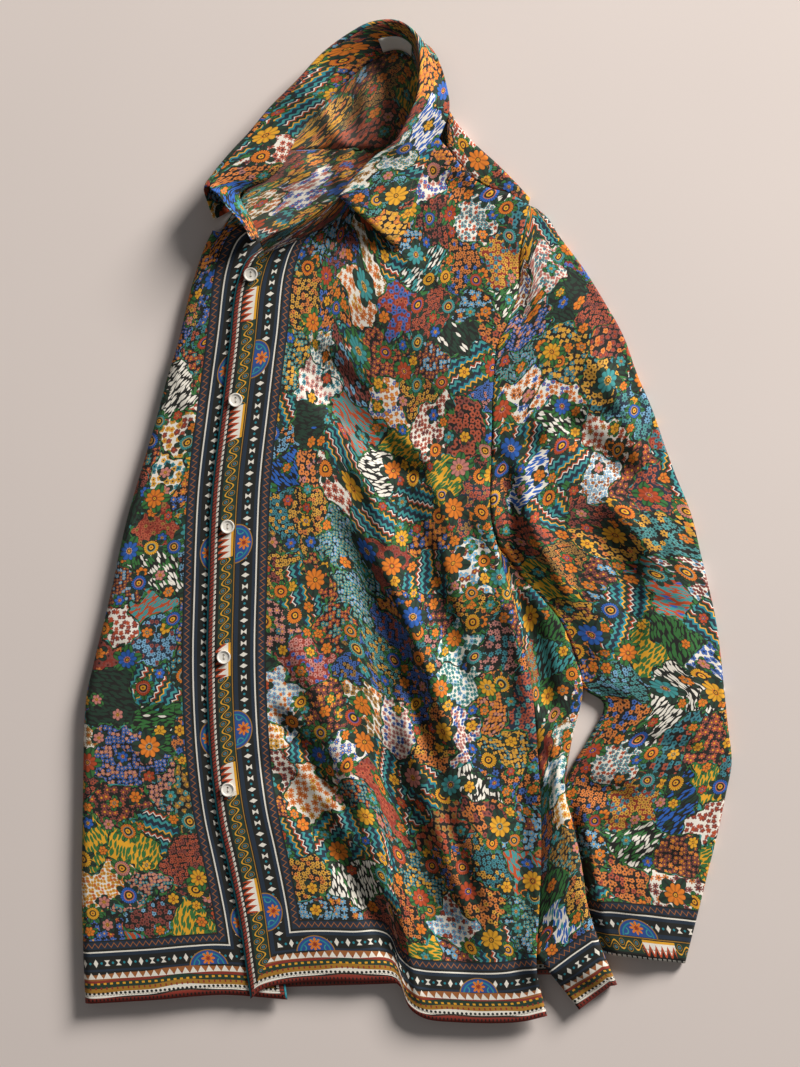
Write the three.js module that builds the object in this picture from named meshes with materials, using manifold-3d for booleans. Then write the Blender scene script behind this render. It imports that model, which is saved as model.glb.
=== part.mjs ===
// A long-sleeved shirt laid flat, face up, with its right side folded behind it.
// Millimetres: x to the right, y from the lowest hem up to the collar, z up from the table.
import * as THREE from 'three';
import { mergeVertices } from 'three/addons/utils/BufferGeometryUtils.js';
import Module from 'manifold-3d';

// Driving dimensions
const CLOTH = 1.2;            // thickness of every wall of cloth
const SEAM = 0.3;             // width of the gap between two pieces at a seam
const LAYER = 1.8;            // one layer of cloth and the air above it
const FOLDED_HEIGHT = 7.9;    // the layers folded behind the shirt
const FOLDED_TAPER = 110;     // width over which they thin out to the right
const LOFT = 6;               // how far the front stands off the back where it is fullest
const SLEEVE_UNDER = 7.4;     // lift of the body where it lies over the sleeve
const SLEEVE_EDGE = 6.2;      // height of the sleeve's rolled edges
const SLEEVE_PRESSED = 4.4;   // the same where the body lies on it
const TURN_UNDER = 38;        // width of the right front that is turned under
const OVERLAP = 30;           // width of the right front hidden under the left one
const ROLL_ROOM = 0.42;       // the most of the way to its seam that a rolled edge's radius takes
const STAND_LIFT = 1.5;       // the collar stand's foot above the middle of the cloth below it
const STAND_SWELL = 1.5;      // how far the middle of the stand stands above a straight line
const LEAF_LIFT = 1.7;        // the collar leaf above the middle of the front it lies on
const BUTTON = { radius: 5.7, height: 2.4, rim: 1.2, hole: 0.8, holeSpacing: 3.2 };

// Rows and columns of the cloth grids
const SIDE_ROWS = 23;         // from the hem to the underarm
const ARMHOLE_ROWS = 15;      // from the underarm to the shoulder
const NECK_COLUMNS = 14;
const YOKE_COLUMNS = 4;
const BACK_COLUMNS = 11;
const NECK_PART = 7;          // the back columns that end at the neck, the others end at the shoulder
const SLEEVE_ROWS = 21;       // from the cuff to the underarm
const ROLL_STEPS = 4;         // facets round a rolled edge
const FACE_STEPS = 3;         // columns of the back's cloth that lies on top, beside the side seam

// Outlines seen from above, as x, y, each running up from the hem or out from the neck
const PLACKET_EDGE = [[-128, 19], [-132, 46], [-137, 81], [-146, 125], [-154, 161], [-159, 196], [-162, 230],
  [-164, 284], [-163, 344], [-160, 426], [-153, 488], [-146, 545], [-140, 598], [-131, 621], [-119, 630]];
const FRONT_HEM = [[-128, 19], [-118, 27], [-81, 33], [-40, 33], [-8, 31], [2, 11], [14, 3], [37, 0],
  [91, 0], [114, 5]];
const SIDE_SEAM = [[114, 5], [109, 24], [105, 44], [107, 82], [109, 123], [109, 172], [106, 225], [100, 278],
  [88, 334], [75, 381], [72, 393]];
const ARMHOLE = [[72, 393], [68, 418], [69, 467], [70, 511], [74, 553], [84, 575], [91, 598], [92, 621],
  [95, 643], [99, 667]];
const FRONT_NECK = [[-119, 630], [-88, 642], [-55, 658], [-27, 700], [-5, 720], [14, 731], [32, 714]];
const YOKE_SEAM = [[32, 714], [43, 700], [54, 688], [69, 680], [82, 677], [99, 667]];
const SHOULDER = [[33, 746], [39, 736], [51, 721], [76, 698], [100, 673]];
const BACK_NECK = [[-96, 719], [-88, 733], [-70, 751], [-51, 770], [-34, 785], [-19, 792], [-6, 794],
  [7, 788], [18, 774], [27, 758], [33, 746]];
const BACK_YOKE_SEAM = [[-102, 711], [-55, 712], [-6, 705], [43, 688], [93, 650]];
const YOKE_LEFT = [[-102, 711], [-96, 719]];
const YOKE_RIGHT = [[93, 650], [98, 664], [100, 673]];
const FOLD_EDGE = [[-263, 15], [-265, 65], [-266, 114], [-265, 180], [-264, 237], [-262, 266], [-256, 293],
  [-244, 342], [-229, 410], [-217, 451], [-205, 492], [-196, 526], [-187, 555], [-177, 597], [-166, 631],
  [-159, 646]];
const RIGHT_FRONT_HEM = [[-263, 15], [-244, 16], [-210, 18], [-175, 21], [-150, 22], [-98, 18]];
const RIGHT_FRONT_TOP = [[-159, 646], [-150, 652], [-140, 650], [-128, 640], [-117, 628], [-100, 621]];
const BACK_LEFT = [[-257, 22], [-260, 114], [-259, 180], [-258, 237], [-250, 293], [-223, 410], [-190, 526],
  [-171, 597], [-150, 645], [-128, 684], [-102, 711]];
const BACK_HEM = [[-257, 22], [-128, 26], [0, 30], [60, 34], [125, 38], [171, 30]];
const VENT_CORNER = [140, 10];
const VENT_ROWS = 3;
const BACK_EDGE = [[171, 30], [160, 55], [155, 68], [147, 93], [141, 131], [135, 160], [128, 189], [134, 229],
  [143, 273], [136, 299], [125, 326], [98, 359], [72, 391]];
const SLEEVE_INNER = [[72, 393], [101, 360], [129, 328], [140, 299], [147, 273], [162, 260], [150, 233],
  [136, 209], [125, 180], [119, 139], [122, 98], [133, 59]];
const SLEEVE_CAP = [[106, 664], [115, 656], [123, 643], [144, 615], [162, 586], [176, 561], [188, 528],
  [200, 500], [210, 471], [220, 444]];
const SLEEVE_OUTER = [[220, 444], [232, 414], [239, 385], [246, 356], [252, 328], [256, 299], [259, 270],
  [262, 241], [265, 211], [260, 184], [254, 155], [247, 127], [240, 98], [227, 47]];

// The layers folded behind, and their left edge
const FOLDED = {
  layers: 3,
  groove: 2,                  // depth of the grooves between the layers at the left edge
  gap: 1.1,                   // air above them
  lipGap: 0.4,                // air above the part of the right front that is turned under
  lipTop: 652,                // height on the table where that part ends
  rightEnd: 0.42,             // where the solid ends, as a share of FOLDED_TAPER
};
const LAYER_EDGE = [
  // inset, share of the layer's height
  [0.7, 0.1],
  [0, 0.5],
  [0.7, 0.9],
];
const FOLDED_LEFT = [[-252, 24], [-254, 114], [-252, 200], [-249, 262], [-243, 293], [-216, 410],
  [-183, 526], [-164, 597], [-148, 650], [-133, 668], [-114, 684], [-97, 706], [-82, 725], [-65, 744],
  [-48, 764], [-34, 778]];

// Large folds. Each runs from one point to another and bows sideways; it fades to its left and to its
// right, seen along it, over two widths, and a trough has a negative height.
const FOLDS = [
  // fromX, fromY, toX, toY, bow, left, right, height
  [-100, 545, 0, 446, 6, 22, 13, -8],
  [-8, 455, 66, 276, -12, 18, 16, -6],
  [-72, 430, -8, 225, 12, 16, 15, -5],
  [-22, 250, 56, 20, -8, 18, 16, -7],
  [-128, 222, -2, 28, 14, 17, 14, -7],
  [-114, 350, 4, 20, 14, 15, 15, 5],
  [-42, 420, 84, 40, 14, 16, 17, 5],
  [-60, 610, 60, 470, 18, 40, 34, 3],
  [70, 380, 100, 238, 6, 11, 10, 5],
  [78, 395, 118, 240, 4, 12, 13, -8],
  [98, 240, 104, 50, 0, 16, 15, -8],
  [110, 250, 158, 70, 8, 11, 11, 3],
  [54, 432, 114, 484, 0, 14, 12, -5],
  [10, 690, 56, 676, 0, 12, 12, -3],
  [84, 640, 96, 560, 0, 12, 14, -3],
  [92, 424, 132, 326, 4, 13, 12, 5],
  [122, 505, 196, 440, -8, 14, 14, -5],
  [136, 556, 196, 452, 8, 14, 14, 3],
  [140, 414, 170, 270, 30, 15, 16, -7],
  [150, 432, 206, 366, 8, 12, 13, 4],
  [180, 372, 168, 282, 16, 14, 14, 3],
  [128, 196, 190, 178, 0, 13, 13, -4],
  [160, 126, 232, 132, 0, 14, 13, -2.5],
  [-242, 170, -186, 112, 0, 15, 13, -2],
  [-236, 330, -196, 250, 0, 14, 14, 1.5],
];

// The soft folds of the back inside the neck, in the same columns
const NECK_FOLDS = [
  [-52, 725, -56, 680, 0, 9, 12, 3],
  [-30, 775, -42, 705, 4, 9, 9, 3],
  [-8, 770, -20, 700, 0, 8, 9, 3],
  [-110, 690, -60, 690, 0, 10, 10, 2],
];

// The collar. Each row is one place round the neck, from the right front's end to the left front's: the
// foot of the stand, its top, how far the top rises, and the leaf's outer edge and that edge's height.
// A row with no leaf is in front of the leaf's two ends.
const COLLAR = [
  // footX, footY, topX, topY, rise, leafX, leafY, leafZ
  [-121, 640, -126, 635, 24],
  [-127, 654, -134, 649, 26],
  [-135, 668, -146, 662, 27],
  [-137, 675, -152, 671, 26],
  [-129, 681, -160, 679, 21, -158, 654, 13],
  [-114, 688, -154, 690, 17, -143, 664, 3],
  [-101, 700, -140, 707, 15, -121, 681, 2],
  [-95, 713, -125, 723, 14, -104, 704, 2],
  [-86, 729, -108, 743, 14, -89, 724, 2],
  [-68, 748, -87, 763, 14, -72, 743, 2],
  [-50, 767, -67, 785, 15, -55, 766, 2],
  [-33, 782, -45, 801, 18, -36, 786, 2],
  [-19, 789, -28, 809, 22, -24, 796, 3],
  [-6, 791, -7, 810, 24, -4, 799, 5],
  [4, 786, 5, 800, 27, 17, 797, 7],
  [9, 774, 9, 785, 29, 27, 780, 9],
  [12, 760, 9, 767, 30, 32, 762, 12],
  [11, 742, 6, 747, 30, 34, 744, 14],
  [5, 724, -1, 730, 30, 27, 724, 0],
  [-4, 708, -10, 714, 30, 17, 704, 0],
  [-21, 694, -28, 700, 29, 9, 685, 0],
  [-38, 676, -44, 683, 28, 3, 662, 0],
  [-52, 660, -56, 669, 27, -7, 630, 0],
  [-67, 649, -72, 658, 24],
  [-90, 637, -95, 645, 23],
  [-105, 631, -110, 639, 22],
  [-116, 626, -119, 633, 21],
];
const LEAF_FIRST = 4;
const LEAF_LAST = 22;
const NECK_BACK = 12;         // the row at the middle of the back
const LEAF_ON_FRONT = 18;     // the first row whose leaf lies on the left front
const COLLAR_STEPS = 2;       // columns of cloth for each row of the table
const LABEL = { first: 12, last: 14, low: 0.12, high: 0.5, thickness: 1 };

// Buttons, as x, y on the left front
const BUTTONS = [[-127.5, 609], [-139.8, 507], [-146.4, 404], [-149.6, 298], [-146.4, 190]];

// The colours of the cloth and the buttons
const PRINT = { color: 0x8a5a34, roughness: 0.75, metalness: 0 };
const PEARL = { color: 0xf1ece0, roughness: 0.3, metalness: 0 };
const WHITE = { color: 0xe9e4da, roughness: 0.7, metalness: 0 };

const wasm = await Module();
wasm.setup();

const shirt = new THREE.Group();

function add(name, geometry, look) {
  const mesh = new THREE.Mesh(geometry, new THREE.MeshStandardMaterial({ ...look, side: THREE.DoubleSide }));
  mesh.name = name;
  shirt.add(mesh);
}

// Small tools

const smooth = (value) => THREE.MathUtils.smoothstep(value, 0, 1);
const mix = THREE.MathUtils.lerp;

function curve(points) {
  const places = points.map(([x, y]) => new THREE.Vector3(x, y, 0));
  const line = new THREE.CatmullRomCurve3(places, false, 'centripetal');
  line.arcLengthDivisions = 400;
  return (u) => line.getPointAt(THREE.MathUtils.clamp(u, 0, 1));
}

// The points of a curve at even steps of its length
function steps(points, count) {
  const at = curve(points);
  return Array.from({ length: count + 1 }, (_, i) => at(i / count));
}

// The x of a curve at a height y, on a curve that only climbs
function crossing(points) {
  const climbing = points[0][1] <= points[points.length - 1][1] ? points : [...points].reverse();
  return (y) => {
    const after = climbing.findIndex(([, py]) => py >= y);
    if (after <= 0) return after === 0 ? climbing[0][0] : climbing[climbing.length - 1][0];
    const [x1, y1] = climbing[after - 1];
    const [x2, y2] = climbing[after];
    return mix(x1, x2, (y - y1) / (y2 - y1));
  };
}

function foldSum(table, x, y) {
  let sum = 0;
  for (const [fromX, fromY, toX, toY, bow, left, right, height] of table) {
    const dx = toX - fromX;
    const dy = toY - fromY;
    const length = Math.hypot(dx, dy);
    const along = ((x - fromX) * dx + (y - fromY) * dy) / length ** 2;
    if (along <= 0 || along >= 1) continue;
    const off = ((y - fromY) * dx - (x - fromX) * dy) / length - bow * 4 * along * (1 - along);
    const ends = smooth(along * 4) * smooth((1 - along) * 4);
    sum += height * ends * Math.exp(-((off / (off > 0 ? left : right)) ** 2));
  }
  return sum;
}

// Heights of the middle of each layer

const foldedEnd = (y) => -88 + 0.08 * y + 0.55 * Math.max(0, y - 600);

function backHeight(x, y) {
  const folded = FOLDED_HEIGHT * smooth((foldedEnd(y) - x) / FOLDED_TAPER);
  const overSleeve = smooth((x - 84) / 26) * smooth((y - 24) / 22) * smooth((222 - y) / 26);
  return CLOTH / 2 + folded + SLEEVE_UNDER * overSleeve;
}

// How far the fronts and the sleeve stand off the layers below, never less than nothing
function fullness(x, y) {
  const loft = 1 + LOFT * smooth((x + 200) / 120) * (1 - 0.5 * smooth((y - 590) / 90));
  const height = loft + foldSum(FOLDS, x, y);
  return (height + Math.sqrt(height ** 2 + 3)) / 2;
}

const rightFrontHeight = (x, y) => backHeight(x, y) + LAYER + fullness(x, y);
const frontHeight = (x, y) => backHeight(x, y) + 2 * LAYER + fullness(x, y);

// The share of the sleeve's cloth that the body presses down, from 0 to 1
const backEdgeAt = crossing(BACK_EDGE);
const pressed = (x, y) =>
  smooth((backEdgeAt(y) + 12 - x) / 12) * smooth((y - 20) / 20) * smooth((226 - y) / 26);

function sleeveHeight(x, y) {
  const free = CLOTH / 2 + 2 * LAYER + fullness(x, y);
  return mix(free, CLOTH / 2 + SLEEVE_PRESSED + SEAM, pressed(x, y));
}

function neckHeight(x, y) {
  return backHeight(x, y) + foldSum(NECK_FOLDS, x, y);
}

// Walls

// A closed wall of cloth round the middle surface of a grid of points. Cells that keep() refuses are left
// out, and where ring() is true a row's last point is its first one.
function wall(points, { keep = () => true, ring = () => false, thickness = CLOTH } = {}) {
  const rows = points.length;
  const columns = points[0].length;
  const last = columns - 1;
  const id = (i, j) => i * columns + (j === last && ring(i) ? 0 : j);
  const middle = points.flat();
  const quads = [];
  for (let i = 0; i < rows - 1; i++) {
    for (let j = 0; j < last; j++) {
      if (keep(i, j)) quads.push([id(i, j), id(i, j + 1), id(i + 1, j + 1), id(i + 1, j)]);
    }
  }
  const normals = middle.map(() => new THREE.Vector3());
  const edges = new Map();
  for (const quad of quads) {
    const [a, b, c, d] = quad.map((k) => middle[k]);
    const face = c.clone().sub(a).cross(d.clone().sub(b));
    quad.forEach((k, n) => {
      normals[k].add(face);
      edges.set(`${k} ${quad[(n + 1) % 4]}`, [k, quad[(n + 1) % 4]]);
    });
  }
  const position = [];
  const corner = (k, side) =>
    middle[k].clone().addScaledVector(normals[k].clone().normalize(), (side * thickness) / 2);
  const triangle = (a, b, c) => position.push(...a.toArray(), ...b.toArray(), ...c.toArray());
  for (const [a, b, c, d] of quads) {
    triangle(corner(a, 1), corner(b, 1), corner(c, 1));
    triangle(corner(a, 1), corner(c, 1), corner(d, 1));
    triangle(corner(c, -1), corner(b, -1), corner(a, -1));
    triangle(corner(d, -1), corner(c, -1), corner(a, -1));
  }
  for (const [a, b] of edges.values()) {
    if (edges.has(`${b} ${a}`)) continue;
    triangle(corner(a, -1), corner(b, -1), corner(b, 1));
    triangle(corner(a, -1), corner(b, 1), corner(a, 1));
  }
  const geometry = new THREE.BufferGeometry();
  geometry.setAttribute('position', new THREE.Float32BufferAttribute(position, 3));
  return geometry;
}

// A patch of plan points between four edges that meet at their ends, at(row, column)
function patch(left, right, bottom, top) {
  const rows = left.length - 1;
  const columns = bottom.length - 1;
  const cornerAt = (s, t, axis) =>
    (1 - s) * (1 - t) * bottom[0][axis] + s * (1 - t) * bottom[columns][axis] +
    (1 - s) * t * top[0][axis] + s * t * top[columns][axis];
  return (i, j) => {
    const t = i / rows;
    const s = j / columns;
    const along = (axis) => mix(bottom[j][axis], top[j][axis], t) + mix(left[i][axis], right[i][axis], s);
    return new THREE.Vector3(along('x') - cornerAt(s, t, 'x'), along('y') - cornerAt(s, t, 'y'), 0);
  };
}

const raised = (point, height) => new THREE.Vector3(point.x, point.y, height(point.x, point.y));

// Points round a rolled edge, from low at the inside to high, or from high to low
function roll(edge, inward, low, high, upward) {
  const radius = (high - low) / 2;
  const centre = edge.clone().addScaledVector(inward, radius).setZ(low + radius);
  const turns = Array.from({ length: ROLL_STEPS + 1 }, (_, k) => Math.PI * (k / ROLL_STEPS - 0.5));
  const points = turns.map((angle) => centre.clone()
    .addScaledVector(inward, -radius * Math.cos(angle))
    .add(new THREE.Vector3(0, 0, radius * Math.sin(angle))));
  return upward ? points : points.reverse();
}

// Moves the points of a plan line sideways, to the left of its direction
function moved(line, distance) {
  return line.map((point, i) => {
    const along = line[Math.min(i + 1, line.length - 1)].clone().sub(line[Math.max(i - 1, 0)]).normalize();
    return new THREE.Vector3(point.x - along.y * distance, point.y + along.x * distance, 0);
  });
}

// Seams that two pieces share, sampled once so that both follow the same line
const sideSeam = steps(SIDE_SEAM, SIDE_ROWS);
const armhole = steps(ARMHOLE, ARMHOLE_ROWS);
const seamUp = [...sideSeam, ...armhole.slice(1)];
const yokeSeam = steps(YOKE_SEAM, YOKE_COLUMNS);
const backYokeSeam = steps(BACK_YOKE_SEAM, BACK_COLUMNS);

function leftFront() {
  const rows = SIDE_ROWS + ARMHOLE_ROWS;
  const columns = NECK_COLUMNS + YOKE_COLUMNS;
  const right = moved(seamUp, SEAM / 2);
  const neck = steps(FRONT_NECK, NECK_COLUMNS);
  const top = [...neck.slice(0, -1), ...moved(yokeSeam, -SEAM / 2)];
  const left = steps(PLACKET_EDGE, rows);
  const bottom = steps(FRONT_HEM, columns);
  top[columns].copy(right[rows]);
  bottom[columns].copy(right[0]);
  const at = patch(left, right, bottom, top);
  const points = left.map((_, i) => bottom.map((_point, j) => raised(at(i, j), frontHeight)));
  add('left_front', wall(points), PRINT);
}

function rightFront() {
  const rows = 30;
  const columns = 10;
  const left = steps(FOLD_EDGE, rows);
  const right = steps(PLACKET_EDGE, rows).map((point) => point.clone().add(new THREE.Vector3(OVERLAP, 0, 0)));
  const bottom = steps(RIGHT_FRONT_HEM, columns);
  const top = steps(RIGHT_FRONT_TOP, columns);
  right[0].copy(bottom[columns]);
  right[rows].copy(top[columns]);
  const at = patch(left, right, bottom, top);
  const points = left.map((edge, i) => {
    const inward = right[i].clone().sub(edge).normalize();
    const high = rightFrontHeight(edge.x, edge.y);
    const low = CLOTH / 2;
    const round = roll(edge, inward, low, high, true);
    const lip = [1, 0.5].map((share) => edge.clone()
      .addScaledVector(inward, mix((high - low) / 2, TURN_UNDER, share)).setZ(low));
    const face = bottom.slice(1).map((_, j) => {
      const plan = at(i, j + 1);
      const clear = plan.clone().addScaledVector(inward, ((high - low) / 2) * (1 - (j + 1) / columns));
      return raised(clear, rightFrontHeight);
    });
    return [...lip, ...round, ...face];
  });
  add('right_front', wall(points), PRINT);
}

// The middle surface of the back: it lies under the fronts, rolls over at the side and ends on top, at
// the side seam. Its last corner hangs free beside the vent.
function back() {
  const rows = SIDE_ROWS + ARMHOLE_ROWS;
  const left = steps(BACK_LEFT, rows);
  const edge = [...steps(BACK_EDGE, SIDE_ROWS), ...moved(armhole, SEAM / 2).slice(1)];
  const bottom = steps(BACK_HEM, BACK_COLUMNS);
  const top = moved(backYokeSeam, -SEAM / 2);
  const seam = moved(sideSeam, -SEAM / 2);
  const corner = new THREE.Vector3(...VENT_CORNER, 0);
  const ventTop = seam[VENT_ROWS].clone();
  for (let i = 0; i < VENT_ROWS; i++) seam[i].lerpVectors(corner, ventTop, i / VENT_ROWS);
  edge[rows].copy(top[BACK_COLUMNS]);
  left[rows].copy(top[0]);
  edge[0].copy(bottom[BACK_COLUMNS]);
  const at = patch(left, edge, bottom, top);
  const points = edge.map((side, i) => {
    const inward = left[i].clone().sub(side).normalize();
    const end = seam[Math.min(i, SIDE_ROWS)];
    const low = backHeight(side.x, side.y);
    const room = Math.hypot(side.x - end.x, side.y - end.y);
    const radius = Math.min((frontHeight(side.x, side.y) - low) / 2, Math.max(room * ROLL_ROOM, 1));
    const under = bottom.slice(0, -1).map((_, j) => {
      const plan = at(i, j).addScaledVector(inward, i < SIDE_ROWS ? radius * (j / BACK_COLUMNS) : 0);
      return raised(plan, neckHeight);
    });
    if (i >= SIDE_ROWS) under.push(raised(side, neckHeight));
    const round = roll(side, inward, low, low + 2 * radius, true);
    const over = Array.from({ length: FACE_STEPS }, (_, k) => {
      const share = (k + 1) / FACE_STEPS;
      const plan = round[ROLL_STEPS].clone().lerp(end, share);
      return raised(plan, (x, y) => mix(low + 2 * radius, frontHeight(x, y), share));
    });
    return i < SIDE_ROWS ? [...under, ...round, ...over] : [...under, ...round.slice(1), ...over];
  });
  add('back', wall(points, { keep: (i, j) => i < SIDE_ROWS - 1 || j < BACK_COLUMNS }), PRINT);
}

// The yoke lies flat across the back, with its inside in the neck, and rolls over the shoulder to the seam
// in front of it.
function yoke() {
  const flatRows = 4;
  const frontRows = 2;
  const neck = steps(BACK_NECK, NECK_PART);
  const shoulder = steps(SHOULDER, YOKE_COLUMNS);
  const bottom = moved(backYokeSeam, SEAM / 2);
  const top = [...neck.slice(0, -1), ...shoulder];
  const left = steps(YOKE_LEFT, flatRows);
  const right = steps(YOKE_RIGHT, flatRows);
  left[0].copy(bottom[0]);
  left[flatRows].copy(top[0]);
  right[0].copy(bottom[BACK_COLUMNS]);
  right[flatRows].copy(top[BACK_COLUMNS]);
  const at = patch(left, right, bottom, top);
  const seam = moved(yokeSeam, SEAM / 2);
  const columns = top.map((edge, j) => {
    const end = seam[Math.max(j - NECK_PART, 0)];
    const inward = end.clone().sub(edge).normalize();
    const low = backHeight(edge.x, edge.y);
    const room = Math.hypot(edge.x - end.x, edge.y - end.y);
    const radius = Math.min((frontHeight(edge.x, edge.y) - low) / 2, room * ROLL_ROOM);
    const inset = j < NECK_PART ? 0 : radius;
    const flat = left.slice(0, -1).map((_, i) => {
      const plan = at(i, j).addScaledVector(inward, inset * (i / flatRows));
      return raised(plan, neckHeight);
    });
    const round = roll(edge, inward, low, low + 2 * radius, true);
    if (j < NECK_PART) round[0] = raised(edge, neckHeight);
    const over = Array.from({ length: frontRows }, (_, k) => {
      const share = (k + 1) / frontRows;
      const plan = round[ROLL_STEPS].clone().lerp(end, share);
      return raised(plan, (x, y) => mix(low + 2 * radius, frontHeight(x, y), share));
    });
    return [...flat, ...round, ...over];
  });
  const points = columns[0].map((_, i) => columns.map((column) => column[i]));
  add('yoke', wall(points, { keep: (i, j) => i < flatRows || j >= NECK_PART }), PRINT);
}

// The left sleeve is a tube pressed flat, from its hem up to the underarm, and from there up it is open
// along the armhole.
function leftSleeve() {
  const topColumns = 9;
  const underColumns = 4;
  const yokeGap = 1.5;
  const edgeWidth = 25;
  const open = moved(armhole, -SEAM / 2);
  open[ARMHOLE_ROWS].y -= yokeGap;
  const inner = [...steps([...SLEEVE_INNER].reverse(), SLEEVE_ROWS), ...open.slice(1)];
  const outer = [...steps([...SLEEVE_OUTER].reverse(), SLEEVE_ROWS),
    ...steps([...SLEEVE_CAP].reverse(), ARMHOLE_ROWS).slice(1)];
  const low = CLOTH / 2;
  const points = inner.map((side, i) => {
    const across = outer[i].clone().sub(side);
    const width = across.length();
    across.normalize();
    const outerEdge = Math.min(SLEEVE_EDGE, width * 0.5);
    const innerEdge = mix(SLEEVE_EDGE, SLEEVE_PRESSED, pressed(side.x, side.y));
    const tube = i <= SLEEVE_ROWS;
    const start = tube ? innerEdge / 2 : 0;
    const span = width - start - outerEdge / 2;
    const upper = Array.from({ length: topColumns }, (_, j) => {
      const off = (span * j) / topColumns;
      const plan = side.clone().addScaledVector(across, start + off);
      const fromInner = tube ? smooth(off / edgeWidth) : 1;
      const fromOuter = smooth((span - off) / edgeWidth);
      const edge = low + mix(outerEdge, innerEdge, fromOuter);
      return raised(plan, (x, y) => mix(edge, sleeveHeight(x, y), fromInner * fromOuter));
    });
    const outerRoll = roll(outer[i], across.clone().negate(), low, low + outerEdge, false);
    const under = Array.from({ length: underColumns }, (_, j) => {
      const plan = outer[i].clone().addScaledVector(across, -outerEdge / 2 - (span * (j + 1)) / underColumns);
      return plan.setZ(low);
    });
    const innerRoll = roll(side, across, low, low + innerEdge, true);
    return [...upper, ...outerRoll, ...under, ...innerRoll.slice(1)];
  });
  const ringStart = topColumns + ROLL_STEPS + underColumns;
  const keep = (i, j) => i < SLEEVE_ROWS || j < ringStart;
  add('left_sleeve', wall(points, { keep, ring: (i) => i <= SLEEVE_ROWS }), PRINT);
}

// The right side of both fronts' layers and the right sleeve, folded behind: one solid, layered at its
// left edge and at the hem, flat below and thinning out to the right.
function foldedBehind() {
  const rows = 26;
  const topShares = [0.03, 0.35, 0.55, 0.7, 0.82, 0.92, 1];
  const { layers, groove, gap, lipGap, lipTop, rightEnd } = FOLDED;
  const at = curve(FOLDED_LEFT);
  const foldEdgeAt = crossing(FOLD_EDGE);
  const topOf = (x, y) => backHeight(x, y) - CLOTH / 2 - gap;
  const sections = Array.from({ length: rows + 1 }, (_, i) => {
    const { x: leftX, y } = at(i / rows);
    const rightX = foldedEnd(y) - FOLDED_TAPER * rightEnd;
    const onLip = y < lipTop ? CLOTH + lipGap : SEAM;
    const share = Math.min((i + 1) / layers, 1);
    const high = mix(onLip, topOf(leftX + groove, y), share);
    const edge = [];
    for (let layer = 0; layer < layers; layer++) {
      const level = (part) => mix(onLip, high, (layer + part) / layers);
      for (const [inset, part] of LAYER_EDGE) edge.push([leftX + inset, level(part)]);
      if (layer < layers - 1) edge.push([leftX + groove, level(1)]);
    }
    const top = topShares.map((part) => {
      const x = mix(leftX, rightX, part);
      return [x, Math.max(mix(onLip, topOf(x, y), share), onLip + CLOTH / 2)];
    });
    const lipX = foldEdgeAt(y) + TURN_UNDER + 8;
    const lipEnd = THREE.MathUtils.clamp(lipX, leftX + 2 * groove, rightX - 3 * groove);
    const base = [[rightX + 0.8, 0.5], [rightX, 0], [lipEnd + groove, 0], [lipEnd, onLip],
      [leftX + groove, onLip]];
    return [...edge, ...top, ...base].map(([x, z]) => new THREE.Vector3(x, y, z));
  });
  add('folded_right_side', loft(sections), PRINT);
}

// A closed solid through sections of the same number of points, capped at both ends
function loft(sections) {
  const count = sections[0].length;
  const position = [];
  const triangle = (a, b, c) => position.push(...a.toArray(), ...b.toArray(), ...c.toArray());
  const cap = (section, flip) => {
    const flat = section.map((point) => new THREE.Vector2(point.x, point.z));
    for (const [a, b, c] of THREE.ShapeUtils.triangulateShape(flat, [])) {
      if (flip) triangle(section[a], section[b], section[c]);
      else triangle(section[c], section[b], section[a]);
    }
  };
  for (let i = 0; i < sections.length - 1; i++) {
    for (let j = 0; j < count; j++) {
      const k = (j + 1) % count;
      triangle(sections[i + 1][k], sections[i + 1][j], sections[i][j]);
      triangle(sections[i][k], sections[i + 1][k], sections[i][j]);
    }
  }
  cap(sections[0], true);
  cap(sections[sections.length - 1], false);
  const geometry = new THREE.BufferGeometry();
  geometry.setAttribute('position', new THREE.Float32BufferAttribute(position, 3));
  return geometry;
}

// The collar's lines, each a function of the place round the neck, from 0 to the last row of COLLAR
function collarLines() {
  const footHeights = COLLAR.map(([x, y], k) => {
    const onFront = smooth((k - NECK_BACK) / (LEAF_ON_FRONT - NECK_BACK));
    const under = mix(neckHeight(x, y), frontHeight(x, y), onFront);
    const onRight = k < LEAF_FIRST ? CLOTH : 0;
    return under + onRight + STAND_LIFT;
  });
  const foot = COLLAR.map(([x, y], k) => new THREE.Vector3(x, y, footHeights[k]));
  const top = COLLAR.map(([, , x, y, rise], k) => new THREE.Vector3(x, y, footHeights[k] + rise));
  const leaf = COLLAR.slice(LEAF_FIRST, LEAF_LAST + 1).map(([, , , , , x, y, z], k) => {
    const onFront = k + LEAF_FIRST >= LEAF_ON_FRONT;
    return new THREE.Vector3(x, y, onFront ? frontHeight(x, y) + LEAF_LIFT : z);
  });
  const through = (points, first) => {
    const line = new THREE.CatmullRomCurve3(points, false, 'centripetal');
    return (place) => line.getPoint((place - first) / (points.length - 1));
  };
  return { foot: through(foot, 0), top: through(top, 0), leaf: through(leaf, LEAF_FIRST) };
}

const collar = collarLines();
const standPoint = (place, share) => {
  const low = collar.foot(place);
  const high = collar.top(place);
  const swell = STAND_SWELL * Math.sin(Math.PI * share);
  return low.lerp(high, share).add(new THREE.Vector3(0, 0, swell));
};

function collarStand() {
  const rows = 3;
  const last = COLLAR.length - 1;
  const points = Array.from({ length: rows + 1 }, (_, i) =>
    Array.from({ length: last * COLLAR_STEPS + 1 }, (_n, j) => standPoint(j / COLLAR_STEPS, i / rows)));
  add('collar_stand', wall(points), PRINT);
}

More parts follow.
